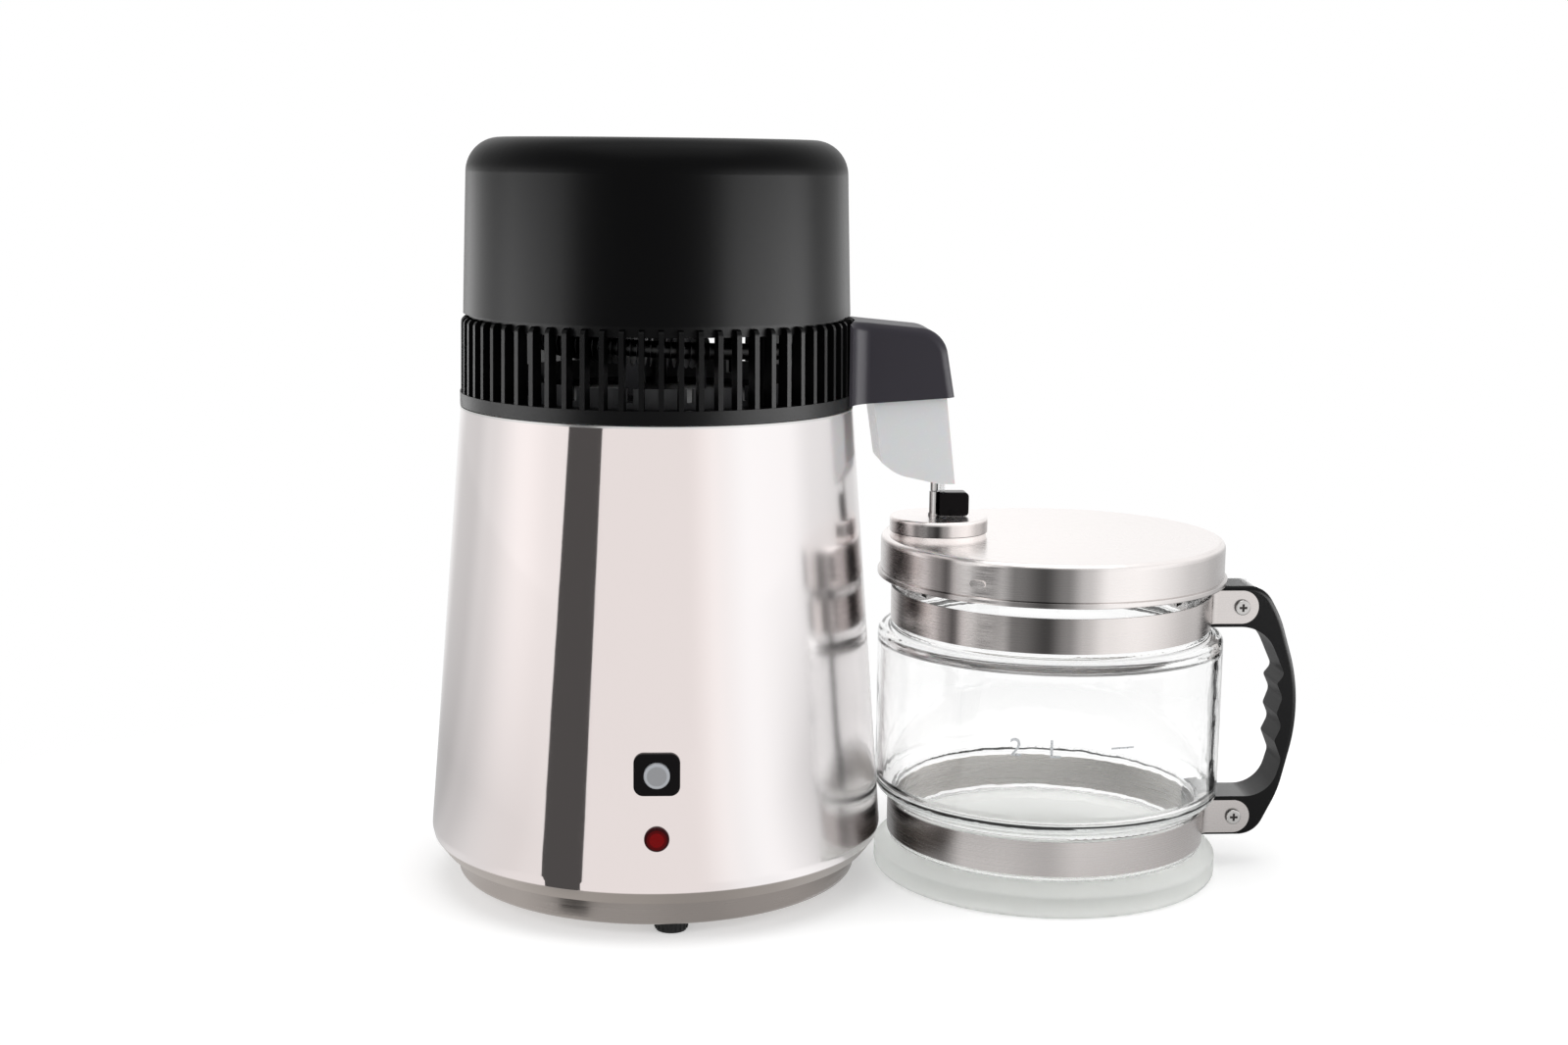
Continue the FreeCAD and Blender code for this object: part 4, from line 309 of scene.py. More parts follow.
@dataclass(frozen=True)
class HemmedFinish(Finish):
    """Polished sheet, satin towards its sides and given a cooler tint there as painted reflection, whose rolled
    foot, under a height, is brushed and shaded round its axis as painted reflection.
    """

    hem_z: float = 24.8 * MM
    hem_fade: float = 0.6 * MM
    hem_colour: Colour = (0.44, 0.39, 0.355)
    hem_roughness: float = 0.3
    hem_reflection_tones: tuple[tuple[float, float], ...] = ()
    cool_reflection_colour: Colour = (0.745, 0.72, 0.722)
    cool_reflection_shares: tuple[tuple[float, float], ...] = ()
    satin_roughness: float = 0.13
    satin_shares: tuple[tuple[float, float], ...] = ()

    def hem_share(self, bench: NodeBench, place: Socket) -> Socket:
        """1 on the hem and 0 above it."""
        height = bench.part(place, "Z")
        return bench.spread(height, 1.0, 0.0, self.hem_z, self.hem_z + self.hem_fade)

    def colour_socket(self, bench: NodeBench, place: Socket, mottle: Socket) -> Socket:
        """Sheet colour with a cool tint of painted reflection by angle, above the hem's colour shaded by angle
        as painted reflection.
        """
        # Painted reflection: a cooler tint on the sides and a tone round the hem stand in for the room seen in
        # the polish.
        cool = bench.tone_round(place, self.axis_x, self.cool_reflection_shares)
        sheet = bench.blend(cool, super().colour_socket(bench, place, mottle), opaque(self.cool_reflection_colour))
        tone = bench.tone_round(place, self.axis_x, self.hem_reflection_tones)
        hem = bench.blend(tone, opaque((0.0, 0.0, 0.0)), opaque(self.hem_colour))
        return bench.blend(self.hem_share(bench, place), sheet, hem)

    def roughness_socket(self, bench: NodeBench, place: Socket, grain: Socket) -> Socket:
        """Polish above, brushing on the hem."""
        sheet = super().roughness_socket(bench, place, grain)
        share = bench.tone_round(place, self.axis_x, self.satin_shares)
        satin = bench.math("MULTIPLY", share, self.satin_roughness)
        brushed = bench.math("MULTIPLY", self.hem_share(bench, place), self.hem_roughness)
        return bench.math("ADD", sheet, bench.math("MAXIMUM", satin, brushed))


@dataclass(frozen=True)
class PaintedReflectionFinish(Finish):
    """Brushed sheet turned about an upright axis, whose side carries dark and bright upright bands of painted
    reflection.
    """

    tones: tuple[tuple[float, float], ...] = ()
    plain_above_z: float = 1.0
    plain_fade: float = 1.2 * MM

    def colour_socket(self, bench: NodeBench, place: Socket, mottle: Socket) -> Socket:
        """Sheet colour times the painted reflection's tone, and plain above a height."""
        sheet = super().colour_socket(bench, place, mottle)
        # Painted reflection: dark and bright bands round the axis stand in for the room seen in the steel.
        tone = bench.tone_round(place, self.axis_x, self.tones)
        painted_reflection_colour = bench.blend(tone, opaque((0.0, 0.0, 0.0)), sheet)
        height = bench.part(place, "Z")
        side = bench.spread(height, 1.0, 0.0, self.plain_above_z - self.plain_fade, self.plain_above_z)
        return bench.blend(side, sheet, painted_reflection_colour)


@dataclass(frozen=True)
class ShadedRecessFinish(Finish):
    """Screw head seen from the front, with painted shade in its cross slot and round its rim."""

    front_y: float = 0.0
    front_depth: float = 0.3 * MM
    recess_shade_colour: Colour = (0.05, 0.047, 0.045)

    def colour_socket(self, bench: NodeBench, place: Socket, mottle: Socket) -> Socket:
        """Bright front, and painted shade behind it."""
        # Painted shade: the slot and the rim behind the front face take the dark recess colour.
        depth = bench.part(place, "Y")
        share = bench.spread(depth, 0.0, 1.0, self.front_y + self.front_depth,
                             self.front_y + 2 * self.front_depth)
        return bench.blend(share, super().colour_socket(bench, place, mottle), opaque(self.recess_shade_colour))


@dataclass(frozen=True)
class RingedFinish(Finish):
    """Round front piece with rings of colour about a centre on the XZ plane."""

    centre: tuple[float, float] = (0.0, 0.0)
    rings: tuple[tuple[float, Colour], ...] = ()
    ring_fade: float = 0.2 * MM

    def colour_socket(self, bench: NodeBench, place: Socket, mottle: Socket) -> Socket:
        """Colour by distance from the centre, softened between rings."""
        x, z = self.centre
        offset = bench.vector("MULTIPLY", bench.vector("SUBTRACT", place, (x, 0.0, z)), (1.0, 0.0, 1.0))
        reach = bench.length(offset)
        found = super().colour_socket(bench, place, mottle)
        for radius, colour in self.rings:
            outside = bench.spread(reach, 0.0, 1.0, radius - self.ring_fade, radius + self.ring_fade)
            found = bench.blend(outside, found, opaque(colour))
        return found


JUG_X = 201.1 * MM
DISC_X = 142.5 * MM
OUTLET_X = 140.0 * MM
# Painted reflection: tone by angle round each steel piece's axis, dark and bright bands that stand in for the
# room reflected in it.
UPPER_BAND_REFLECTION_TONES = (
    (-180, 0.7), (-130, 0.35), (-97, 0.62), (-84, 0.44), (-76, 0.16), (-68, 0.6), (-58, 1.0), (-50, 0.3),
    (-46, 0.13), (-41, 0.9), (-34, 1.0), (-28, 0.52), (-23, 0.18), (-12, 0.06), (-5, 0.24), (1, 0.5),
    (8, 0.72), (22, 0.81), (48, 0.68), (64, 0.5), (78, 0.63), (88, 0.63), (125, 0.4), (180, 0.7),
)
LID_REFLECTION_TONES = (
    (-180, 0.7), (-130, 0.35), (-97, 0.66), (-84, 0.49), (-75, 0.2), (-68, 0.7), (-60, 1.0), (-50, 0.28),
    (-46, 0.14), (-42, 0.76), (-37, 0.78), (-33, 1.0), (-28, 0.62), (-22, 0.2), (-13, 0.075), (-6, 0.22),
    (0, 0.54), (8, 0.84), (18, 0.84), (42, 0.7), (56, 0.52), (75, 0.6), (125, 0.4), (180, 0.7),
)
DISC_REFLECTION_TONES = (
    (-180, 0.7), (-130, 0.35), (-90, 0.74), (-74, 0.6), (-62, 0.26), (-53, 0.28), (-43, 0.64), (-34, 0.25),
    (-27, 0.42), (-18, 0.12), (-9, 0.04), (0, 0.34), (10, 0.8), (26, 0.86), (44, 0.6), (60, 0.4),
    (90, 0.6), (125, 0.4), (180, 0.7),
)
LOWER_BAND_REFLECTION_TONES = (
    (-180, 0.9), (-130, 0.8), (-90, 0.22), (-70, 0.21), (-59, 0.35), (-49, 0.21), (-39, 0.49), (-28, 0.48),
    (-10, 0.39), (2, 0.53), (35, 0.56), (60, 0.6), (80, 0.55), (130, 0.8), (180, 0.9),
)
# Painted reflection round the shell's hem and the base pan: lighter to the left, darker to the right.
FOOT_REFLECTION_TONES = (
    (-180, 0.7), (-110, 0.9), (-60, 1.0), (-45, 0.98), (-28, 0.78), (-8, 0.7), (8, 0.61), (30, 0.57),
    (60, 0.53), (110, 0.6), (180, 0.7),
)
# Shares of the cool tint painted on the shell as reflection, by angle round its axis.
COOL_REFLECTION_SHARES = (
    (-180, 0.5), (-60, 0.6), (-35, 0.15), (-10, 0.0), (8, 0.0), (24, 0.9), (100, 0.8), (180, 0.5),
)
SATIN_SHARES = (
    (-180, 0.5), (-100, 0.5), (-60, 0.2), (-40, 0.0), (28, 0.0), (44, 1.0), (100, 1.0), (180, 0.5),
)
# Mirror shell with painted reflection: a cool tint on its sides and tones round its hem.
SHELL_MIRROR = HemmedFinish("polished_shell", (0.79, 0.715, 0.7), 1.0, 0.05, 0.008, Lay.UPRIGHT, grain=700.0,
                            bump=0.0000006, tone=0.01, hem_reflection_tones=FOOT_REFLECTION_TONES, cool_reflection_shares=COOL_REFLECTION_SHARES,
                            satin_shares=SATIN_SHARES)
# Brushed steel whose sides carry the painted reflection tones above.
LID_STEEL = PaintedReflectionFinish("brushed_lid_painted_reflection", (0.92, 0.876, 0.86), 1.0, 0.24, 0.06, Lay.TURNED, JUG_X, 1800.0, 60.0,
                        0.0000015, 0.03, tones=LID_REFLECTION_TONES, plain_above_z=0.1735)
DISC_STEEL = PaintedReflectionFinish("brushed_disc_painted_reflection", (0.92, 0.876, 0.86), 1.0, 0.24, 0.06, Lay.TURNED, DISC_X, 1800.0, 60.0,
                         0.0000015, 0.03, tones=DISC_REFLECTION_TONES, plain_above_z=0.1835)
UPPER_BAND_STEEL = PaintedReflectionFinish("brushed_upper_band_painted_reflection", (0.92, 0.868, 0.848), 1.0, 0.26, 0.05, Lay.BANDED, JUG_X,
                               1800.0, 90.0, 0.0000015, 0.03, tones=UPPER_BAND_REFLECTION_TONES)
LOWER_BAND_STEEL = PaintedReflectionFinish("brushed_lower_band_painted_reflection", (0.92, 0.868, 0.848), 1.0, 0.26, 0.05, Lay.BANDED, JUG_X,
                               1800.0, 90.0, 0.0000015, 0.03, tones=LOWER_BAND_REFLECTION_TONES)
# Pan steel with painted reflection round its axis.
PAN_STEEL = PaintedReflectionFinish("brushed_pan_painted_reflection", (0.41, 0.37, 0.345), 1.0, 0.34, 0.08, Lay.TURNED, 0.0, 1400.0, 50.0,
                        0.000004, 0.08, tones=FOOT_REFLECTION_TONES)
TANK_STEEL = Finish("drawn_tank", (0.68, 0.67, 0.66), 1.0, 0.26, 0.06, Lay.TURNED, 0.0, 900.0, 50.0, 0.000004)
# Painted reflection round the outlet tube and the inlet post: dark edges and bright bands.
TUBE_REFLECTION_TONES = ((-180, 0.3), (-120, 0.5), (-98, 0.14), (-62, 0.15), (-45, 0.4), (-20, 0.95), (5, 0.5),
              (35, 0.2), (62, 0.14), (95, 0.5), (140, 0.3), (180, 0.3))
TUBE_STEEL = PaintedReflectionFinish("drawn_tube_painted_reflection", (0.78, 0.76, 0.75), 1.0, 0.2, 0.06, Lay.UPRIGHT, OUTLET_X, 2500.0,
                         tones=TUBE_REFLECTION_TONES)
# Painted shade: the condenser, its fins, the brackets and the head plate sit inside the casings, so their metal
# is painted dark in place of the shade there.
SHADED_COIL_STEEL = Finish("shaded_coil", (0.05, 0.05, 0.05), 1.0, 0.36, 0.06, Lay.UPRIGHT, grain=2500.0)
SHADED_FIN_ALUMINIUM = Finish("shaded_fin_sheet", (0.06, 0.06, 0.063), 1.0, 0.4, 0.06)
FASTENER_STEEL = Finish("bright_fasteners", (0.62, 0.61, 0.6), 1.0, 0.24, 0.08, grain=2200.0)
# Screw heads with painted shade in their slots.
HANDLE_SCREW_STEEL = ShadedRecessFinish("handle_screw_heads", (0.5, 0.49, 0.48), 1.0, 0.2, 0.06, grain=2200.0,
                                    front_y=-0.0153)
SHADED_BRACKET_STEEL = Finish("shaded_plated_sheet", (0.06, 0.06, 0.065), 1.0, 0.45, 0.1, tone=0.12, cloud=60.0)
SHADED_PLATE_STEEL = Finish("shaded_plate", (0.12, 0.12, 0.12), 1.0, 0.4, 0.08)
DARK_SCREWS = Finish("blackened_screws", (0.03, 0.03, 0.032), 1.0, 0.4, 0.08, grain=2200.0)
CORE_STEEL = Finish("varnished_core", (0.09, 0.09, 0.1), 0.9, 0.36, 0.08, Lay.LENGTHWISE, grain=2000.0,
                    bump=0.00003)
SPREADER_METAL = Finish("cast_spreader", (0.7, 0.7, 0.7), 1.0, 0.45, 0.08, bump=0.00003)
HEATER_METAL = Finish("heat_tinted_sheath", (0.3, 0.26, 0.23), 1.0, 0.42, 0.1, tone=0.25, cloud=90.0)
COPPER_WIRE = Finish("enamelled_wire", (0.1, 0.03, 0.015), 1.0, 0.3, 0.05, tone=0.1, coat=0.3)
CONTACT_METAL = Finish("contact_metal", (0.7, 0.64, 0.48), 1.0, 0.25, 0.05)
COVER_BLACK = Finish("satin_cover", (0.0006, 0.0006, 0.0008), 0.0, 0.36, 0.03, grain=2600.0, bump=0.000006,
                     tone=0.1, specular=0.05)
RING_BLACK = Finish("satin_ring", (0.0016, 0.0016, 0.0018), 0.0, 0.4, 0.05, grain=2600.0, bump=0.00001,
                    specular=0.07)
BAFFLE_GREY = Finish("baffle_plastic", (0.03, 0.031, 0.034), 0.0, 0.4, 0.05, grain=2600.0, bump=0.00001)
ARM_BLACK = Finish("satin_arm", (0.04, 0.037, 0.046), 0.0, 0.36, 0.04, grain=2600.0, bump=0.000008,
                   specular=0.06)
HANDLE_BLACK = Finish("satin_handle", (0.003, 0.003, 0.0033), 0.0, 0.34, 0.05, grain=2400.0, bump=0.000008,
                      specular=0.08)
GLOSS_BLACK = Finish("gloss_black", (0.004, 0.003, 0.0035), 0.0, 0.09, 0.02, bump=0.000002, specular=0.07)
SOCKET_BLACK = Finish("socket_plastic", (0.02, 0.02, 0.022), 0.0, 0.42, 0.06, bump=0.00002)
FAN_PLASTIC = Finish("fan_plastic", (0.012, 0.012, 0.013), 0.0, 0.38, 0.06, bump=0.00002)
SWITCH_PLASTIC = Finish("switch_plastic", (0.22, 0.22, 0.23), 0.0, 0.5, 0.06, bump=0.00002)
BUTTON_GREY = RingedFinish("button_plastic", (0.315, 0.32, 0.335), 0.0, 0.32, 0.04, bump=0.000006,
                           centre=(-0.0018, 0.0815),
                           rings=((0.0046, (0.46, 0.48, 0.51)), (0.0058, (0.3, 0.31, 0.33))))
LAMP_RED = RingedFinish("lamp_lens", (0.2, 0.002, 0.003), 0.0, 0.12, 0.03, bump=0.000004, specular=0.05,
                        coat=0.03, centre=(-0.0018, 0.0513),
                        rings=((0.0034, (0.1, 0.001, 0.002)), (0.0047, (0.03, 0.001, 0.002))))
INSERT_PLASTIC = Finish("milky_insert", (0.77, 0.77, 0.78), 0.0, 0.24, 0.04, bump=0.000006, tone=0.02,
                        subsurface=0.3)
POD_FABRIC = Finish("pod_wrap", (0.8, 0.79, 0.75), 0.0, 0.85, 0.08, grain=3000.0, bump=0.0001, tone=0.1)
FOOT_RUBBER = Finish("foot_rubber", (0.012, 0.012, 0.012), 0.0, 0.7, 0.08, bump=0.00003, specular=0.3)
SEAL_SILICONE = Finish("seal_silicone", (0.7, 0.7, 0.68), 0.0, 0.5, 0.06, subsurface=0.2)
SEAL_DARK = Finish("seal_dark", (0.03, 0.03, 0.03), 0.0, 0.6, 0.06)
JUG_GLASS = FootedGlass("pressed_glass", (1.0, 1.0, 1.0), 0.0, 0.0, 0.004, grain=28.0, bump=0.00025, tone=0.0,
                        transmission=1.0, ior=1.5)
MARK_GLASS = ClearFinish("frosted_mark", (0.74, 0.76, 0.78), 0.0, 0.3, 0.05, bump=0.00001, tone=0.03,
                         transmission=0.6, ior=1.5)
CLEAR_TUBE = ClearFinish("clear_tube", (0.95, 0.95, 0.95), 0.0, 0.08, 0.02, transmission=0.9, ior=1.45,
                         depth_colour=(0.9, 0.9, 0.9))


class Paintbox:
    """Builds each finish once and puts it on pieces."""

    def __init__(self) -> None:
        """Starts with no materials."""
        self.made: dict[str, bpy.types.Material] = {}

    def material(self, finish: Finish) -> bpy.types.Material:
        """The finish's material, built when first asked for."""
        if finish.name not in self.made:
            self.made[finish.name] = finish.material()
        return self.made[finish.name]

    def dress(self, piece: bpy.types.Object, finish: Finish) -> None:
        """Puts a finish on every face of a piece."""
        material = self.material(finish)
        if not piece.material_slots:
            piece.data.materials.append(material)
        for slot in piece.material_slots:
            slot.material = material


# Meshes


def linked(name: str, mesh: bpy.types.Mesh, smooth: bool = True) -> bpy.types.Object:
    """Object for a mesh, in the scene at the origin.

    Args:
        name: Name of the piece.
        mesh: Its mesh, already in place.
        smooth: Whether its faces shade smoothly.

    Returns:
        The new object.
    """
    piece = bpy.data.objects.new(name, mesh)
    bpy.context.scene.collection.objects.link(piece)
    for face in mesh.polygons:
        face.use_smooth = smooth
    return piece


def mesh_of(name: str, points: Sequence[Point], faces: Iterable[Sequence[int]],
            edges: Iterable[tuple[int, int]] = ()) -> bpy.types.Mesh:
    """Mesh from points and faces, with doubles merged and faces turned outwards.

    Args:
        name: Name of the mesh.
        points: Corner places in metres.
        faces: Corner numbers of each face.
        edges: Loose edges, for a path.

    Returns:
        The new mesh.
    """
    mesh = bpy.data.meshes.new(name)
    mesh.from_pydata(points, list(edges), list(faces))
    if mesh.polygons:
        shape = bmesh.new()
        shape.from_mesh(mesh)
        bmesh.ops.remove_doubles(shape, verts=shape.verts, dist=0.000001)
        bmesh.ops.recalc_face_normals(shape, faces=shape.faces)
        shape.to_mesh(mesh)
        shape.free()
    mesh.update()
    return mesh


def closed_tube(name: str, path: Sequence[Vector], radius: float, sides: int = 10) -> bpy.types.Mesh:
    """Round tube whose line comes back to its start.

    Args:
        name: Name of the mesh.
        path: Points of the line, which lies on a plane across Y.
        radius: Radius of the tube.
        sides: Number of flat sides round it.

    Returns:
        The tube's mesh.
    """
    points = []
    count = len(path)
    for index, here in enumerate(path):
        along = (path[(index + 1) % count] - path[index - 1]).normalized()
        side = along.cross(Vector((0.0, 1.0, 0.0))).normalized()
        for step in range(sides):
            angle = 2 * math.pi * step / sides
            rise = Vector((0.0, radius * math.sin(angle), 0.0))
            points.append(tuple(here + side * radius * math.cos(angle) + rise))
    faces = []
    for index in range(count):
        after = (index + 1) % count
        for step in range(sides):
            turn = (step + 1) % sides
            low, high = index * sides, after * sides
            faces.append((low + step, low + turn, high + turn, high + step))
    return mesh_of(name, points, faces)


def lathed(name: str, profile: Sequence[tuple[float, float]], centre: tuple[float, float],
           ripple: Callable[[float], float], steps: int = 64) -> bpy.types.Mesh:
    """Turned form about an upright axis, closed at both ends.

    Args:
        name: Name of the mesh.
        profile: Radius and height from the lower middle to the upper middle.
        centre: Plan position of the axis.
        ripple: Factor on the radius, by angle.
        steps: Steps round the axis.

    Returns:
        The form's mesh.
    """
    points = []
    for step in range(steps):
        angle = 2 * math.pi * step / steps
        factor = ripple(angle)
        for radius, height in profile:
            reach = radius * factor
            points.append((centre[0] + reach * math.cos(angle), centre[1] + reach * math.sin(angle), height))
    rows = len(profile)
    faces = []
    for step in range(steps):
        after = (step + 1) % steps
        for row in range(rows - 1):
            faces.append((step * rows + row, after * rows + row, after * rows + row + 1, step * rows + row + 1))
    return mesh_of(name, points, faces)


class RepeatTree:
    """Geometry node tree with named sizes, run once and kept as a plain mesh."""

    def __init__(self, name: str, sizes: dict[str, float | int]) -> None:
        """Makes the tree's sockets.

        Args:
            name: Name of the tree.
            sizes: Value of each named input.
        """
        self.sizes = sizes
        self.group = bpy.data.node_groups.new(name, "GeometryNodeTree")
        self.bench = NodeBench(self.group)
        face = self.group.interface
        face.new_socket(name="Geometry", in_out="INPUT", socket_type="NodeSocketGeometry")
        face.new_socket(name="Geometry", in_out="OUTPUT", socket_type="NodeSocketGeometry")
        for label, value in sizes.items():
            kind = "NodeSocketInt" if isinstance(value, int) else "NodeSocketFloat"
            face.new_socket(name=label, in_out="INPUT", socket_type=kind)
        self.inputs = self.bench.add("NodeGroupInput").outputs

    def end(self, instances: Socket, material: bpy.types.Material) -> None:
        """Ends the tree with real geometry that carries a material."""
        real = self.bench.out("GeometryNodeRealizeInstances", {0: instances})
        dressed = self.bench.out("GeometryNodeSetMaterial", {"Geometry": real, "Material": material})
        self.bench.add("NodeGroupOutput", {0: dressed})

    def grow(self, name: str, base: bpy.types.Mesh) -> bpy.types.Object:
        """Runs the tree on a base mesh.

        Args:
            name: Name of the finished piece.
            base: Mesh that the tree starts from.

        Returns:
            The piece, a plain mesh object.
        """
        carrier = linked(name + "_base", base)
        modifier = carrier.modifiers.new("repeat", "NODES")
        modifier.node_group = self.group
        for item in self.group.interface.items_tree:
            if item.in_out == "INPUT" and item.name in self.sizes:
                modifier[item.identifier] = self.sizes[item.name]
        depsgraph = bpy.context.evaluated_depsgraph_get()
        mesh = bpy.data.meshes.new_from_object(carrier.evaluated_get(depsgraph), depsgraph=depsgraph)
        carrier.modifiers.remove(modifier)
        bpy.data.objects.remove(carrier)
        return linked(name, mesh, smooth=False)


# Sub-assemblies


@dataclass
class SubAssembly:
    """CAD nodes of one body, each with its finish, and the fine pieces that ride with them."""

    body: str = ""
    finishes: dict[str, Finish] = field(default_factory=dict)

    def dress(self, nodes: dict[str, bpy.types.Object], paint: Paintbox) -> None:
        """Puts the finishes on the CAD nodes."""
        for name, finish in self.finishes.items():
            paint.dress(nodes[name], finish)
            log.info("%s: %s", name, finish.name)

    def add_piece(self, piece: bpy.types.Object, slot: str) -> None:
        """Lets a fine piece ride on the body.

        Args:
            piece: Finished piece, in place.
            slot: Name of the record's material slot; not used.
        """
        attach(piece, self.body)
        log.info("%s: %d faces, rides on %s", piece.name, len(piece.data.polygons), self.body)

    def build(self, paint: Paintbox) -> None:
        """Makes the fine pieces; none unless a sub-assembly has some."""


@dataclass
class Boiler(SubAssembly):
    """Shell, base, tank, heater and front panel."""

    body: str = "boiler"
    foot_circle: float = 90.2 * MM
    foot_turn: float = -86.5
    foot_count: int = 3
    rib_count: int = 20
    rib_sides: int = 6
    rib_circle: float = 7.75 * MM
    rib_radius: float = 0.35 * MM
    rib_height: float = 3.4 * MM
    rib_middle_z: float = 2.7 * MM
    finishes: dict[str, Finish] = field(default_factory=lambda: {
        "outer_shell": SHELL_MIRROR, "base_pan": PAN_STEEL, "rubber_feet": FOOT_RUBBER,
        "foot_screws": FASTENER_STEEL, "boiling_tank": TANK_STEEL, "heat_spreader": SPREADER_METAL,
        "heater_ring": HEATER_METAL, "tie_rods": FASTENER_STEEL, "tie_nuts": FASTENER_STEEL,
        "cutoff_thermostat": SWITCH_PLASTIC, "thermostat_strap": SHADED_BRACKET_STEEL, "strap_screws": FASTENER_STEEL,
        "reset_bezel": GLOSS_BLACK, "switch_body": SWITCH_PLASTIC, "lamp_lens": LAMP_RED,
        "lamp_body": SWITCH_PLASTIC, "mains_inlet": SOCKET_BLACK, "inlet_pins": CONTACT_METAL,
        "inlet_screws": FASTENER_STEEL,
    })

    def build(self, paint: Paintbox) -> None:
        """Ribs round the three feet."""
        tree = RepeatTree("ribs_round_feet", {"Ribs": self.rib_count, "Rib Circle": self.rib_circle,
                                              "Rib Radius": self.rib_radius, "Rib Height": self.rib_height})
        bench, size = tree.bench, tree.inputs
        ring = bench.out("GeometryNodeMeshCircle", {"Vertices": size["Ribs"], "Radius": size["Rib Circle"]})
        rib = bench.out("GeometryNodeMeshCylinder", {"Vertices": self.rib_sides, "Radius": size["Rib Radius"],
                                                     "Depth": size["Rib Height"]})
        ribbed = bench.out("GeometryNodeInstanceOnPoints", {"Points": ring, "Instance": rib})
        feet = bench.out("GeometryNodeInstanceOnPoints", {"Points": size["Geometry"], "Instance": ribbed})
        tree.end(feet, paint.material(FOOT_RUBBER))
        places = []
        for index in range(self.foot_count):
            angle = math.radians(self.foot_turn + 360.0 * index / self.foot_count)
            x, y = self.foot_circle * math.cos(angle), self.foot_circle * math.sin(angle)
            places.append((x, y, self.rib_middle_z))
        self.add_piece(tree.grow("foot_ribs", mesh_of("foot_places", places, ())), "foot_rubber")


@dataclass
class ResetButton(SubAssembly):
    """Round push button in the square bezel."""

    body: str = "reset_button"
    finishes: dict[str, Finish] = field(default_factory=lambda: {"reset_button": BUTTON_GREY})


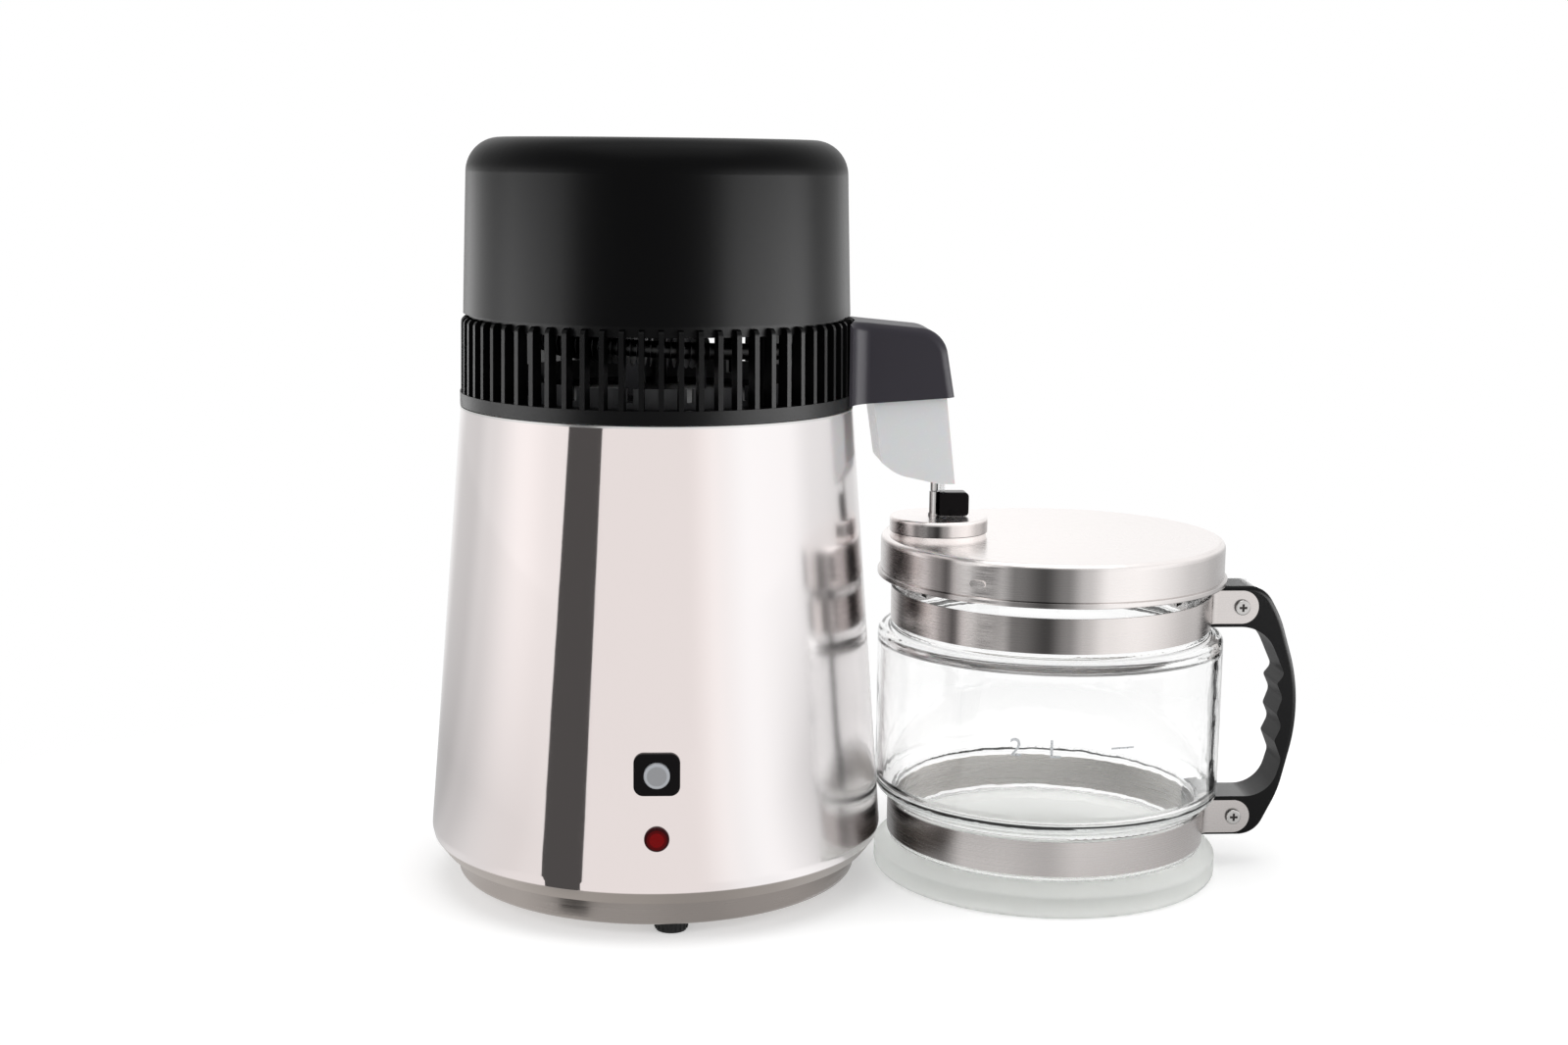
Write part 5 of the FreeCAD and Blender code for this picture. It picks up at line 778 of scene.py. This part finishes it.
@dataclass
class Head(SubAssembly):
    """Cover, slat ring, condenser, motor, spout arm and its insert."""

    body: str = "head"
    coil_radius: float = 55.0 * MM
    coil_low_z: float = 271.0 * MM
    coil_drop: float = 59.5 * MM
    coil_end_turn: float = -55.0
    coil_sweep: float = 1260.0
    coil_steps: int = 420
    coil_margin: float = 0.01
    fin_radius: float = 8.3 * MM
    fin_pitch: float = 2.8 * MM
    fin_thickness: float = 0.25 * MM
    fin_sides: int = 14
    winding_middle: Point = (0.0, 0.02397, 0.308)
    winding_half_width: float = 18.2 * MM
    winding_half_height: float = 11.1 * MM
    wire_radius: float = 0.45 * MM
    wire_turns: int = 12
    wire_pitch: float = 0.95 * MM
    wire_corner_radius: float = 3.0 * MM
    wire_corner_steps: int = 5
    wire_sides: int = 8
    former_gap: float = 0.3 * MM
    former_half_depth: float = 5.65 * MM
    limb_hole: tuple[float, float] = (7.3 * MM, 8.3 * MM)
    pod_x: float = 127.0 * MM
    pod_low_z: float = 216.1 * MM
    pod_gather: float = 0.006
    pod_gathers: int = 17
    finishes: dict[str, Finish] = field(default_factory=lambda: {
        "head_gasket": SEAL_SILICONE, "head_plate": SHADED_PLATE_STEEL, "plate_screws": DARK_SCREWS,
        "slat_ring": RING_BLACK, "cover_screws": FASTENER_STEEL, "air_baffle": BAFFLE_GREY,
        "top_cover": COVER_BLACK, "condenser_coil": SHADED_COIL_STEEL, "motor_stand": SHADED_BRACKET_STEEL,
        "stand_screws": DARK_SCREWS, "motor_stator": CORE_STEEL, "motor_winding": COPPER_WIRE,
        "bearing_bridge": SHADED_BRACKET_STEEL, "fan_socket": SOCKET_BLACK, "fan_socket_pins": CONTACT_METAL,
        "spout_arm": ARM_BLACK, "spout_insert": INSERT_PLASTIC, "filter_pod": POD_FABRIC,
        "outlet_tube": TUBE_STEEL, "vent_tube": CLEAR_TUBE,
    })

    def coil_path(self) -> bpy.types.Mesh:
        """Line of the condenser's turns, as loose edges."""
        count = self.coil_steps
        points = []
        for index in range(count + 1):
            share = self.coil_margin + (1 - 2 * self.coil_margin) * index / count
            angle = math.radians(self.coil_end_turn - self.coil_sweep * (1 - share))
            height = self.coil_low_z + self.coil_drop * (1 - share)
            points.append((self.coil_radius * math.cos(angle), self.coil_radius * math.sin(angle), height))
        return mesh_of("coil_line", points, (), [(index, index + 1) for index in range(count)])

    def build_fins(self, paint: Paintbox) -> None:
        """Thin round fins, evenly spaced along the condenser tube."""
        tree = RepeatTree("fins_on_coil", {"Fin Radius": self.fin_radius, "Fin Thickness": self.fin_thickness,
                                           "Fin Spacing": self.fin_pitch})
        bench, size = tree.bench, tree.inputs
        line = bench.out("GeometryNodeMeshToCurve", {"Mesh": size["Geometry"]})
        stops = bench.add("GeometryNodeCurveToPoints", {"Curve": line, "Length": size["Fin Spacing"]},
                          mode="LENGTH").outputs
        fin = bench.out("GeometryNodeMeshCylinder", {"Vertices": self.fin_sides, "Radius": size["Fin Radius"],
                                                     "Depth": size["Fin Thickness"]})
        fins = bench.out("GeometryNodeInstanceOnPoints", {
            "Points": stops["Points"], "Instance": fin, "Rotation": stops["Rotation"]})
        tree.end(fins, paint.material(SHADED_FIN_ALUMINIUM))
        self.add_piece(tree.grow("condenser_fins", self.coil_path()), "tube_steel")

    def build_winding(self, paint: Paintbox) -> None:
        """Turns of enamelled wire round a former, in place of the plain block."""
        tree = RepeatTree("turns_of_wire", {
            "Turns": self.wire_turns, "Wire Radius": self.wire_radius, "Corner Radius": self.wire_corner_radius,
            "Loop Width": 2 * self.winding_half_width, "Loop Height": 2 * self.winding_half_height,
        })
        bench, size = tree.bench, tree.inputs
        loop = bench.out("GeometryNodeCurvePrimitiveQuadrilateral", {
            "Width": size["Loop Width"], "Height": size["Loop Height"]})
        rounded = bench.out("GeometryNodeFilletCurve", {
            "Curve": loop, "Radius": size["Corner Radius"], "Count": self.wire_corner_steps}, mode="POLY")
        wire = bench.out("GeometryNodeCurvePrimitiveCircle", {
            "Resolution": self.wire_sides, "Radius": size["Wire Radius"]})
        turn = bench.out("GeometryNodeCurveToMesh", {"Curve": rounded, "Profile Curve": wire})
        upright = bench.out("GeometryNodeTransform", {"Geometry": turn, "Rotation": (math.pi / 2, 0.0, 0.0)})
        x, y, z = self.winding_middle
        start = y - (self.wire_turns - 1) * self.wire_pitch / 2
        line = bench.out("GeometryNodeMeshLine", {
            "Count": size["Turns"], "Start Location": (x, start, z),
            "Offset": (0.0, self.wire_pitch, 0.0)}, mode="OFFSET")
        turns = bench.out("GeometryNodeInstanceOnPoints", {"Points": line, "Instance": upright})
        tree.end(turns, paint.material(COPPER_WIRE))
        wires = tree.grow("winding_wires", mesh_of("winding_start", [(x, start, z)], ()))
        self.add_piece(wires, "winding_copper")
        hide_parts("motor_winding")
        self.add_piece(self.winding_former(paint), "winding_copper")

    def winding_former(self, paint: Paintbox) -> bpy.types.Object:
        """Hollow former between the limb and the wire."""
        x, y, z = self.winding_middle
        outer = (self.winding_half_width - self.former_gap, self.winding_half_height - self.former_gap)
        points = []
        for side in (-1, 1):
            for half_width, half_height in (outer, self.limb_hole):
                for turn_x, turn_z in ((-1, -1), (1, -1), (1, 1), (-1, 1)):
                    points.append((x + turn_x * half_width, y + side * self.former_half_depth,
                                   z + turn_z * half_height))
        faces = []
        for step in range(4):
            after = (step + 1) % 4
            faces.append((step, after, 4 + after, 4 + step))
            faces.append((8 + step, 8 + after, 12 + after, 12 + step))
            faces.append((step, after, 8 + after, 8 + step))
            faces.append((4 + step, 4 + after, 12 + after, 12 + step))
        former = linked("winding_former", mesh_of("winding_former", points, faces), smooth=False)
        paint.dress(former, SWITCH_PLASTIC)
        return former

    def build_pod(self, paint: Paintbox) -> None:
        """Crowned carbon pod with a pressed seam round its middle."""
        profile = [(0.0, 0.0), (6.0, 0.15), (9.6, 0.7), (11.6, 2.2), (12.3, 4.0), (12.5, 5.2), (13.0, 5.6),
                   (13.0, 6.0), (12.5, 6.4), (12.3, 7.6), (11.6, 9.4), (9.6, 10.9), (6.0, 11.6), (0.0, 11.8)]
        lifted = [(radius * MM, self.pod_low_z + height * MM) for radius, height in profile]
        mesh = lathed("pod_wrap", lifted, (self.pod_x, 0.0),
                      lambda angle: 1 - self.pod_gather * (1 + math.sin(self.pod_gathers * angle)))
        pod = linked("pod_wrap", mesh)
        paint.dress(pod, POD_FABRIC)
        self.add_piece(pod, "pod_fabric")
        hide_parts("filter_pod")

    def build(self, paint: Paintbox) -> None:
        """Fins, winding and pod."""
        self.build_fins(paint)
        self.build_winding(paint)
        self.build_pod(paint)


@dataclass
class Fan(SubAssembly):
    """Blades on the motor's rotor."""

    body: str = "fan"
    finishes: dict[str, Finish] = field(default_factory=lambda: {
        "fan_blades": FAN_PLASTIC, "motor_rotor": CORE_STEEL})


@dataclass
class Jug(SubAssembly):
    """Glass jug with its two bands and its handle."""

    body: str = "jug"
    glass_radius: float = 88.0 * MM
    mark_low_z: float = 81.2 * MM
    mark_height: float = 12.6 * MM
    mark_relief: float = 0.3 * MM
    mark_gap: float = 0.04 * MM
    mark_turn: float = -22.5
    mark_spacing: float = 1.7
    dash_turn: float = 9.6
    dash_length: float = 11.5 * MM
    dash_half_width: float = 0.45 * MM
    dash_rise: float = 4.2 * MM
    dash_taper: float = 0.6
    dash_steps: int = 16
    finishes: dict[str, Finish] = field(default_factory=lambda: {
        "glass_jug": JUG_GLASS, "upper_band": UPPER_BAND_STEEL, "lower_band": LOWER_BAND_STEEL,
        "jug_handle": HANDLE_BLACK, "handle_screws": HANDLE_SCREW_STEEL, "handle_nuts": FASTENER_STEEL})

    def wrapped(self, mesh: bpy.types.Mesh, start_angle: float) -> None:
        """Bends a flat mark round the glass.

        Args:
            mesh: Mark whose X runs along the wall, Y up it and Z out of it.
            start_angle: Angle of its left end from the front, in degrees, towards the handle.
        """
        for corner in mesh.vertices:
            along, rise, out = corner.co
            angle = math.radians(start_angle) + along / self.glass_radius
            reach = self.glass_radius + self.mark_gap + out + self.mark_relief
            corner.co = (JUG_X + reach * math.sin(angle), -reach * math.cos(angle), self.mark_low_z + rise)

    def build(self, paint: Paintbox) -> None:
        """Moulded two-litre mark on the front of the glass."""
        words = bpy.data.curves.new("litre_mark", "FONT")
        words.body = "2 L"
        words.size = self.mark_height
        words.extrude = self.mark_relief
        words.space_character = self.mark_spacing
        words.resolution_u = 4
        carrier = bpy.data.objects.new("litre_mark_flat", words)
        mesh = bpy.data.meshes.new_from_object(carrier)
        bpy.data.objects.remove(carrier)
        self.wrapped(mesh, self.mark_turn)
        mark = linked("litre_mark", mesh, smooth=False)
        paint.dress(mark, MARK_GLASS)
        self.add_piece(mark, "jug_glass")
        steps, half, out = self.dash_steps, self.dash_half_width, self.mark_relief
        top = self.dash_taper * half
        points = []
        for index in range(steps + 1):
            along = self.dash_length * index / steps
            for rise, depth in ((-half, -out), (half, -out), (top, out), (-top, out)):
                points.append((along, rise + self.dash_rise, depth))
        faces = [(0, 1, 2, 3), tuple(range(4 * steps, 4 * steps + 4))]
        for index in range(steps):
            low, high = 4 * index, 4 * index + 4
            for step in range(4):
                after = (step + 1) % 4
                faces.append((low + step, low + after, high + after, high + step))
        line = mesh_of("litre_line", points, faces)
        self.wrapped(line, self.dash_turn)
        dash = linked("litre_line", line, smooth=False)
        paint.dress(dash, MARK_GLASS)
        self.add_piece(dash, "jug_glass")


@dataclass
class Lid(SubAssembly):
    """Steel lid with the inlet disc."""

    body: str = "lid"
    finishes: dict[str, Finish] = field(default_factory=lambda: {
        "jug_lid": LID_STEEL, "lid_gasket": SEAL_SILICONE, "disc_seal": SEAL_DARK, "inlet_disc": DISC_STEEL})


@dataclass
class InletValve(SubAssembly):
    """Post under the outlet and the tab that turns it."""

    body: str = "inlet_valve"
    oval_centre: Point = (0.1504, -0.005, 0.1868)
    oval_half_width: float = 3.6 * MM
    oval_half_height: float = 1.1 * MM
    oval_tube: float = 0.28 * MM
    oval_steps: int = 40
    finishes: dict[str, Finish] = field(default_factory=lambda: {
        "inlet_post": TUBE_STEEL, "post_clip": FASTENER_STEEL, "valve_tab": GLOSS_BLACK})

    def build(self, paint: Paintbox) -> None:
        """Raised oval low on the tab's front."""
        x, y, z = self.oval_centre
        path = []
        for step in range(self.oval_steps):
            angle = 2 * math.pi * step / self.oval_steps
            path.append(Vector((x + self.oval_half_width * math.cos(angle), y,
                                z + self.oval_half_height * math.sin(angle))))
        oval = linked("tab_oval", closed_tube("tab_oval", path, self.oval_tube))
        paint.dress(oval, GLOSS_BLACK)
        self.add_piece(oval, "gloss_black")


# Studio


class Reach(Enum):
    """What the light of a panel reaches."""

    ALL = "every surface, and it shows in gloss"
    MATT = "matt light only"
    GLOSS = "gloss only"


@dataclass(frozen=True)
class Panel:
    """Soft light panel that faces the object."""

    name: str
    place: Point
    width: float
    height: float
    power: float
    reach: Reach = Reach.ALL
    only_on: tuple[str, ...] = ()

    def build(self, aim: Vector) -> None:
        """Adds the panel, turned to face a point."""
        lamp = bpy.data.lights.new(self.name, "AREA")
        lamp.shape = "RECTANGLE"
        lamp.size, lamp.size_y = self.width, self.height
        lamp.energy = self.power
        holder = bpy.data.objects.new(self.name, lamp)
        bpy.context.scene.collection.objects.link(holder)
        holder.location = self.place
        holder.rotation_euler = (aim - Vector(self.place)).to_track_quat("-Z", "Y").to_euler()
        holder.visible_camera = False
        holder.visible_glossy = self.reach is not Reach.MATT
        holder.visible_diffuse = self.reach is not Reach.GLOSS
        if self.only_on:
            lit = bpy.data.collections.new(self.name + "_reach")
            for name in self.only_on:
                lit.objects.link(bpy.data.objects[name])
            holder.light_linking.receiver_collection = lit


@dataclass(frozen=True)
class Card:
    """Flat card that only reflections see, to shape the gloss on the metal."""

    name: str
    corners: tuple[Point, ...]
    grey: float

    def build(self) -> None:
        """Adds the card."""
        points = [tuple(MM * part for part in corner) for corner in self.corners]
        shown_in_gloss(self.name, mesh_of(self.name, points, [tuple(range(len(points)))]),
                       lambda bench, place: self.grey)


def shown_in_gloss(name: str, mesh: bpy.types.Mesh, tone: Callable[[NodeBench, Socket], object]) -> None:
    """Stages a glowing form that only reflections see.

    Args:
        name: Name of the form.
        mesh: Its mesh.
        tone: Gives the strength of its glow from a bench and Object coordinates.
    """
    form = linked(name, mesh, smooth=False)
    material = bpy.data.materials.new(name)
    material.use_nodes = True
    bench = NodeBench(material.node_tree)
    place = bench.add("ShaderNodeTexCoord").outputs["Object"]
    light = bench.out("ShaderNodeEmission", {"Strength": tone(bench, place)})
    bench.add("ShaderNodeOutputMaterial", {"Surface": light})
    form.data.materials.append(material)
    for ray in ("camera", "diffuse", "transmission", "shadow", "volume_scatter"):
        setattr(form, "visible_" + ray, False)


@dataclass
class Studio:
    """White room: floor, world, panels, cards and the camera."""

    ambient: float = 0.62
    aim: Vector = field(default_factory=lambda: Vector((0.06, 0.0, 0.17)))
    room_radius: float = 2.6
    room_height: float = 1.6
    room_foot: float = -0.05
    room_steps: int = 72
    floor_half: float = 30.0
    floor_grey: float = 0.8
    floor_glow: float = 0.4
    shadow_middle: Point = (0.1, 0.0, 0.0)
    shadow_reach: tuple[float, float] = (0.2, 0.4)
    near_reach: float = 0.35
    room_tones: tuple[tuple[float, float], ...] = (
        (-180, 1.07), (-160, 1.0), (-140, 0.8), (-124, 0.8), (-108, 0.95), (-80, 1.21), (-58, 1.08),
        (-32, 1.0), (14, 1.0), (32, 1.18), (52, 1.3), (76, 1.28), (96, 1.05), (140, 0.9), (158, 0.99),
        (168, 1.07), (180, 1.07))
    near_shade_tones: tuple[tuple[float, float], ...] = (
        (-180, 0.9), (-130, 0.7), (-85, 0.75), (-30, 1.0), (40, 1.0), (90, 0.58), (130, 0.62), (180, 0.9))
    black_pieces: tuple[str, ...] = ("top_cover", "slat_ring", "spout_arm", "jug_handle")
    cards: tuple[Card, ...] = (
        Card("dark_card", ((-812, -584, 1), (-560, -829, 1), (-500, -866, 300), (-752, -659, 300)), 0.09),
        Card("dark_floor_card", (
            (-120, -138, 1), (-174, -170, 1), (-245, -212, 1), (-458, -348, 1), (-812, -584, 1),
            (-560, -829, 1), (-351, -531, 1), (-188, -306, 1), (-134, -234, 1), (-95, -182, 1),
            (-44, -107, 1), (-62, -98, 1)), 0.09),
    )
    camera_place: Point = (-0.01523, -1.0779, 0.3618)
    camera_pitch: float = 9.512
    camera_yaw: float = 4.196
    camera_roll: float = 0.622
    camera_lens: float = 49.78

    def panels(self) -> tuple[Panel, ...]:
        """Soft panels for the room, and five that shape the gloss on the black pieces."""
        return (
            Panel("top_panel", (0.1, -0.15, 1.7), 1.5, 1.3, 9.0),
            Panel("left_panel", (-1.55, -0.42, 0.55), 0.75, 1.3, 5.0, Reach.MATT),
            Panel("right_panel", (1.52, -0.52, 0.55), 1.25, 1.3, 8.0, Reach.MATT),
            Panel("left_gloss_panel", (-1.21, -0.32, 0.2), 1.15, 0.4, 23.0, Reach.GLOSS, self.black_pieces),
            Panel("right_gloss_panel", (1.14, -0.5, 0.2), 1.4, 0.4, 43.0, Reach.GLOSS, self.black_pieces),
            Panel("left_edge_panel", (-1.02, 0.72, 0.2), 1.17, 0.4, 4.8, Reach.GLOSS, self.black_pieces),
            Panel("right_edge_panel", (1.02, 0.72, 0.2), 1.17, 0.4, 2.7, Reach.GLOSS, self.black_pieces),
            Panel("handle_panel", (0.5, 1.0, 0.13), 0.6, 0.2, 1.9, Reach.GLOSS, ("jug_handle",)),
        )

    def build_world(self) -> None:
        """White where it is seen, and a plain level where it lights."""
        world = bpy.data.worlds.new("white_room")
        world.use_nodes = True
        bench = NodeBench(world.node_tree)
        rays = bench.add("ShaderNodeLightPath").outputs
        seen = bench.math("MAXIMUM", rays["Is Camera Ray"], rays["Is Glossy Ray"])
        seen = bench.math("MAXIMUM", seen, rays["Is Transmission Ray"])
        strength = bench.spread(seen, self.ambient, 1.0)
        sky = bench.out("ShaderNodeBackground", {"Color": opaque((1.0, 1.0, 1.0)), "Strength": strength})
        bench.add("ShaderNodeOutputWorld", {"Surface": sky})
        bpy.context.scene.world = world

    def build_room(self) -> None:
        """Round wall of soft tones that only reflections see."""
        steps = self.room_steps
        points = []
        for step in range(steps):
            angle = 2 * math.pi * step / steps
            for height in (self.room_foot, self.room_height):
                points.append((self.room_radius * math.cos(angle), self.room_radius * math.sin(angle), height))
        faces = []
        for step in range(steps):
            here, after = 2 * step, 2 * ((step + 1) % steps)
            faces.append((here, after, after + 1, here + 1))
        shown_in_gloss("tone_wall", mesh_of("tone_wall", points, faces),
                       lambda bench, place: bench.tone_round(place, 0.0, self.room_tones))

    def build_floor(self) -> None:
        """White floor that keeps the object's shadow and is plain white further off; in reflections it glows
        with the room's tones, with painted shade near the object.
        """
        half = self.floor_half
        points = [(-half, -half, 0.0), (half, -half, 0.0), (half, half, 0.0), (-half, half, 0.0)]
        floor = linked("floor", mesh_of("floor", points, [(0, 1, 2, 3)]), smooth=False)
        material = bpy.data.materials.new("white_floor")
        material.use_nodes = True
        bench = NodeBench(material.node_tree)
        place = bench.add("ShaderNodeTexCoord").outputs["Object"]
        rays = bench.add("ShaderNodeLightPath").outputs
        seen = bench.math("MAXIMUM", rays["Is Camera Ray"], rays["Is Transmission Ray"])
        lit = bench.out("ShaderNodeBsdfDiffuse", {"Color": opaque((self.floor_grey,) * 3)})
        glow = bench.out("ShaderNodeEmission", {"Strength": bench.math("MULTIPLY", seen, self.floor_glow)})
        near = bench.out("ShaderNodeAddShader", {0: lit, 1: glow})
        white = bench.out("ShaderNodeEmission", {"Strength": 1.0})
        offset = bench.vector("MULTIPLY", bench.vector("SUBTRACT", place, self.shadow_middle), (0.7, 1.0, 0.0))
        reach = bench.length(offset)
        away = bench.math("MULTIPLY", bench.spread(reach, 0.0, 1.0, *self.shadow_reach), seen)
        plain = bench.out("ShaderNodeMixShader", {0: away, 1: near, 2: white})
        # Painted shade: the glow that reflections see is darker close to the object.
        close = bench.math("MINIMUM", bench.math("DIVIDE", self.near_reach, reach), 1.0)
        fall = bench.math("SUBTRACT", 1.0, bench.tone_round(place, 0.0, self.near_shade_tones))
        shade = bench.math("MULTIPLY", fall, close)
        room = bench.tone_round(place, 0.0, self.room_tones)
        tone = bench.math("MULTIPLY", room, bench.math("SUBTRACT", 1.0, shade))
        toned = bench.out("ShaderNodeEmission", {"Strength": tone})
        mirrored = bench.math("SUBTRACT", rays["Is Glossy Ray"], rays["Is Transmission Ray"])
        both = bench.out("ShaderNodeMixShader", {0: mirrored, 1: plain, 2: toned})
        bench.add("ShaderNodeOutputMaterial", {"Surface": both})
        floor.data.materials.append(material)

    def build_camera(self) -> None:
        """Camera at the picture's place and angle."""
        turns = (self.camera_pitch, self.camera_yaw, self.camera_roll)
        pitch, yaw, roll = (math.radians(angle) for angle in turns)
        forward = Vector((math.sin(yaw) * math.cos(pitch), math.cos(yaw) * math.cos(pitch), -math.sin(pitch)))
        right = Vector((math.cos(yaw), -math.sin(yaw), 0.0))
        up = right.cross(forward)
        level_right = right * math.cos(roll) + up * math.sin(roll)
        level_up = up * math.cos(roll) - right * math.sin(roll)
        lens = bpy.data.cameras.new("camera")
        lens.lens = self.camera_lens
        lens.sensor_width = 36.0
        lens.sensor_fit = "HORIZONTAL"
        camera = bpy.data.objects.new("camera", lens)
        bpy.context.scene.collection.objects.link(camera)
        turn = Matrix((level_right, level_up, -forward)).transposed().to_4x4()
        camera.matrix_world = Matrix.Translation(self.camera_place) @ turn
        bpy.context.scene.camera = camera

    def build(self) -> None:
        """Builds the whole studio."""
        self.build_camera()
        self.build_world()
        self.build_room()
        self.build_floor()
        for panel in self.panels():
            panel.build(self.aim)
        for card in self.cards:
            card.build()
        bpy.context.scene.view_settings.view_transform = "Standard"


def main() -> None:
    """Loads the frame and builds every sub-assembly."""
    logging.basicConfig(level=logging.INFO, format="%(message)s")
    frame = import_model()
    Studio().build()
    paint = Paintbox()
    for part in (Boiler(), ResetButton(), Head(), Fan(), Jug(), Lid(), InletValve()):
        part.dress(frame["nodes"], paint)
        part.build(paint)


if __name__ == "__main__":
    main()
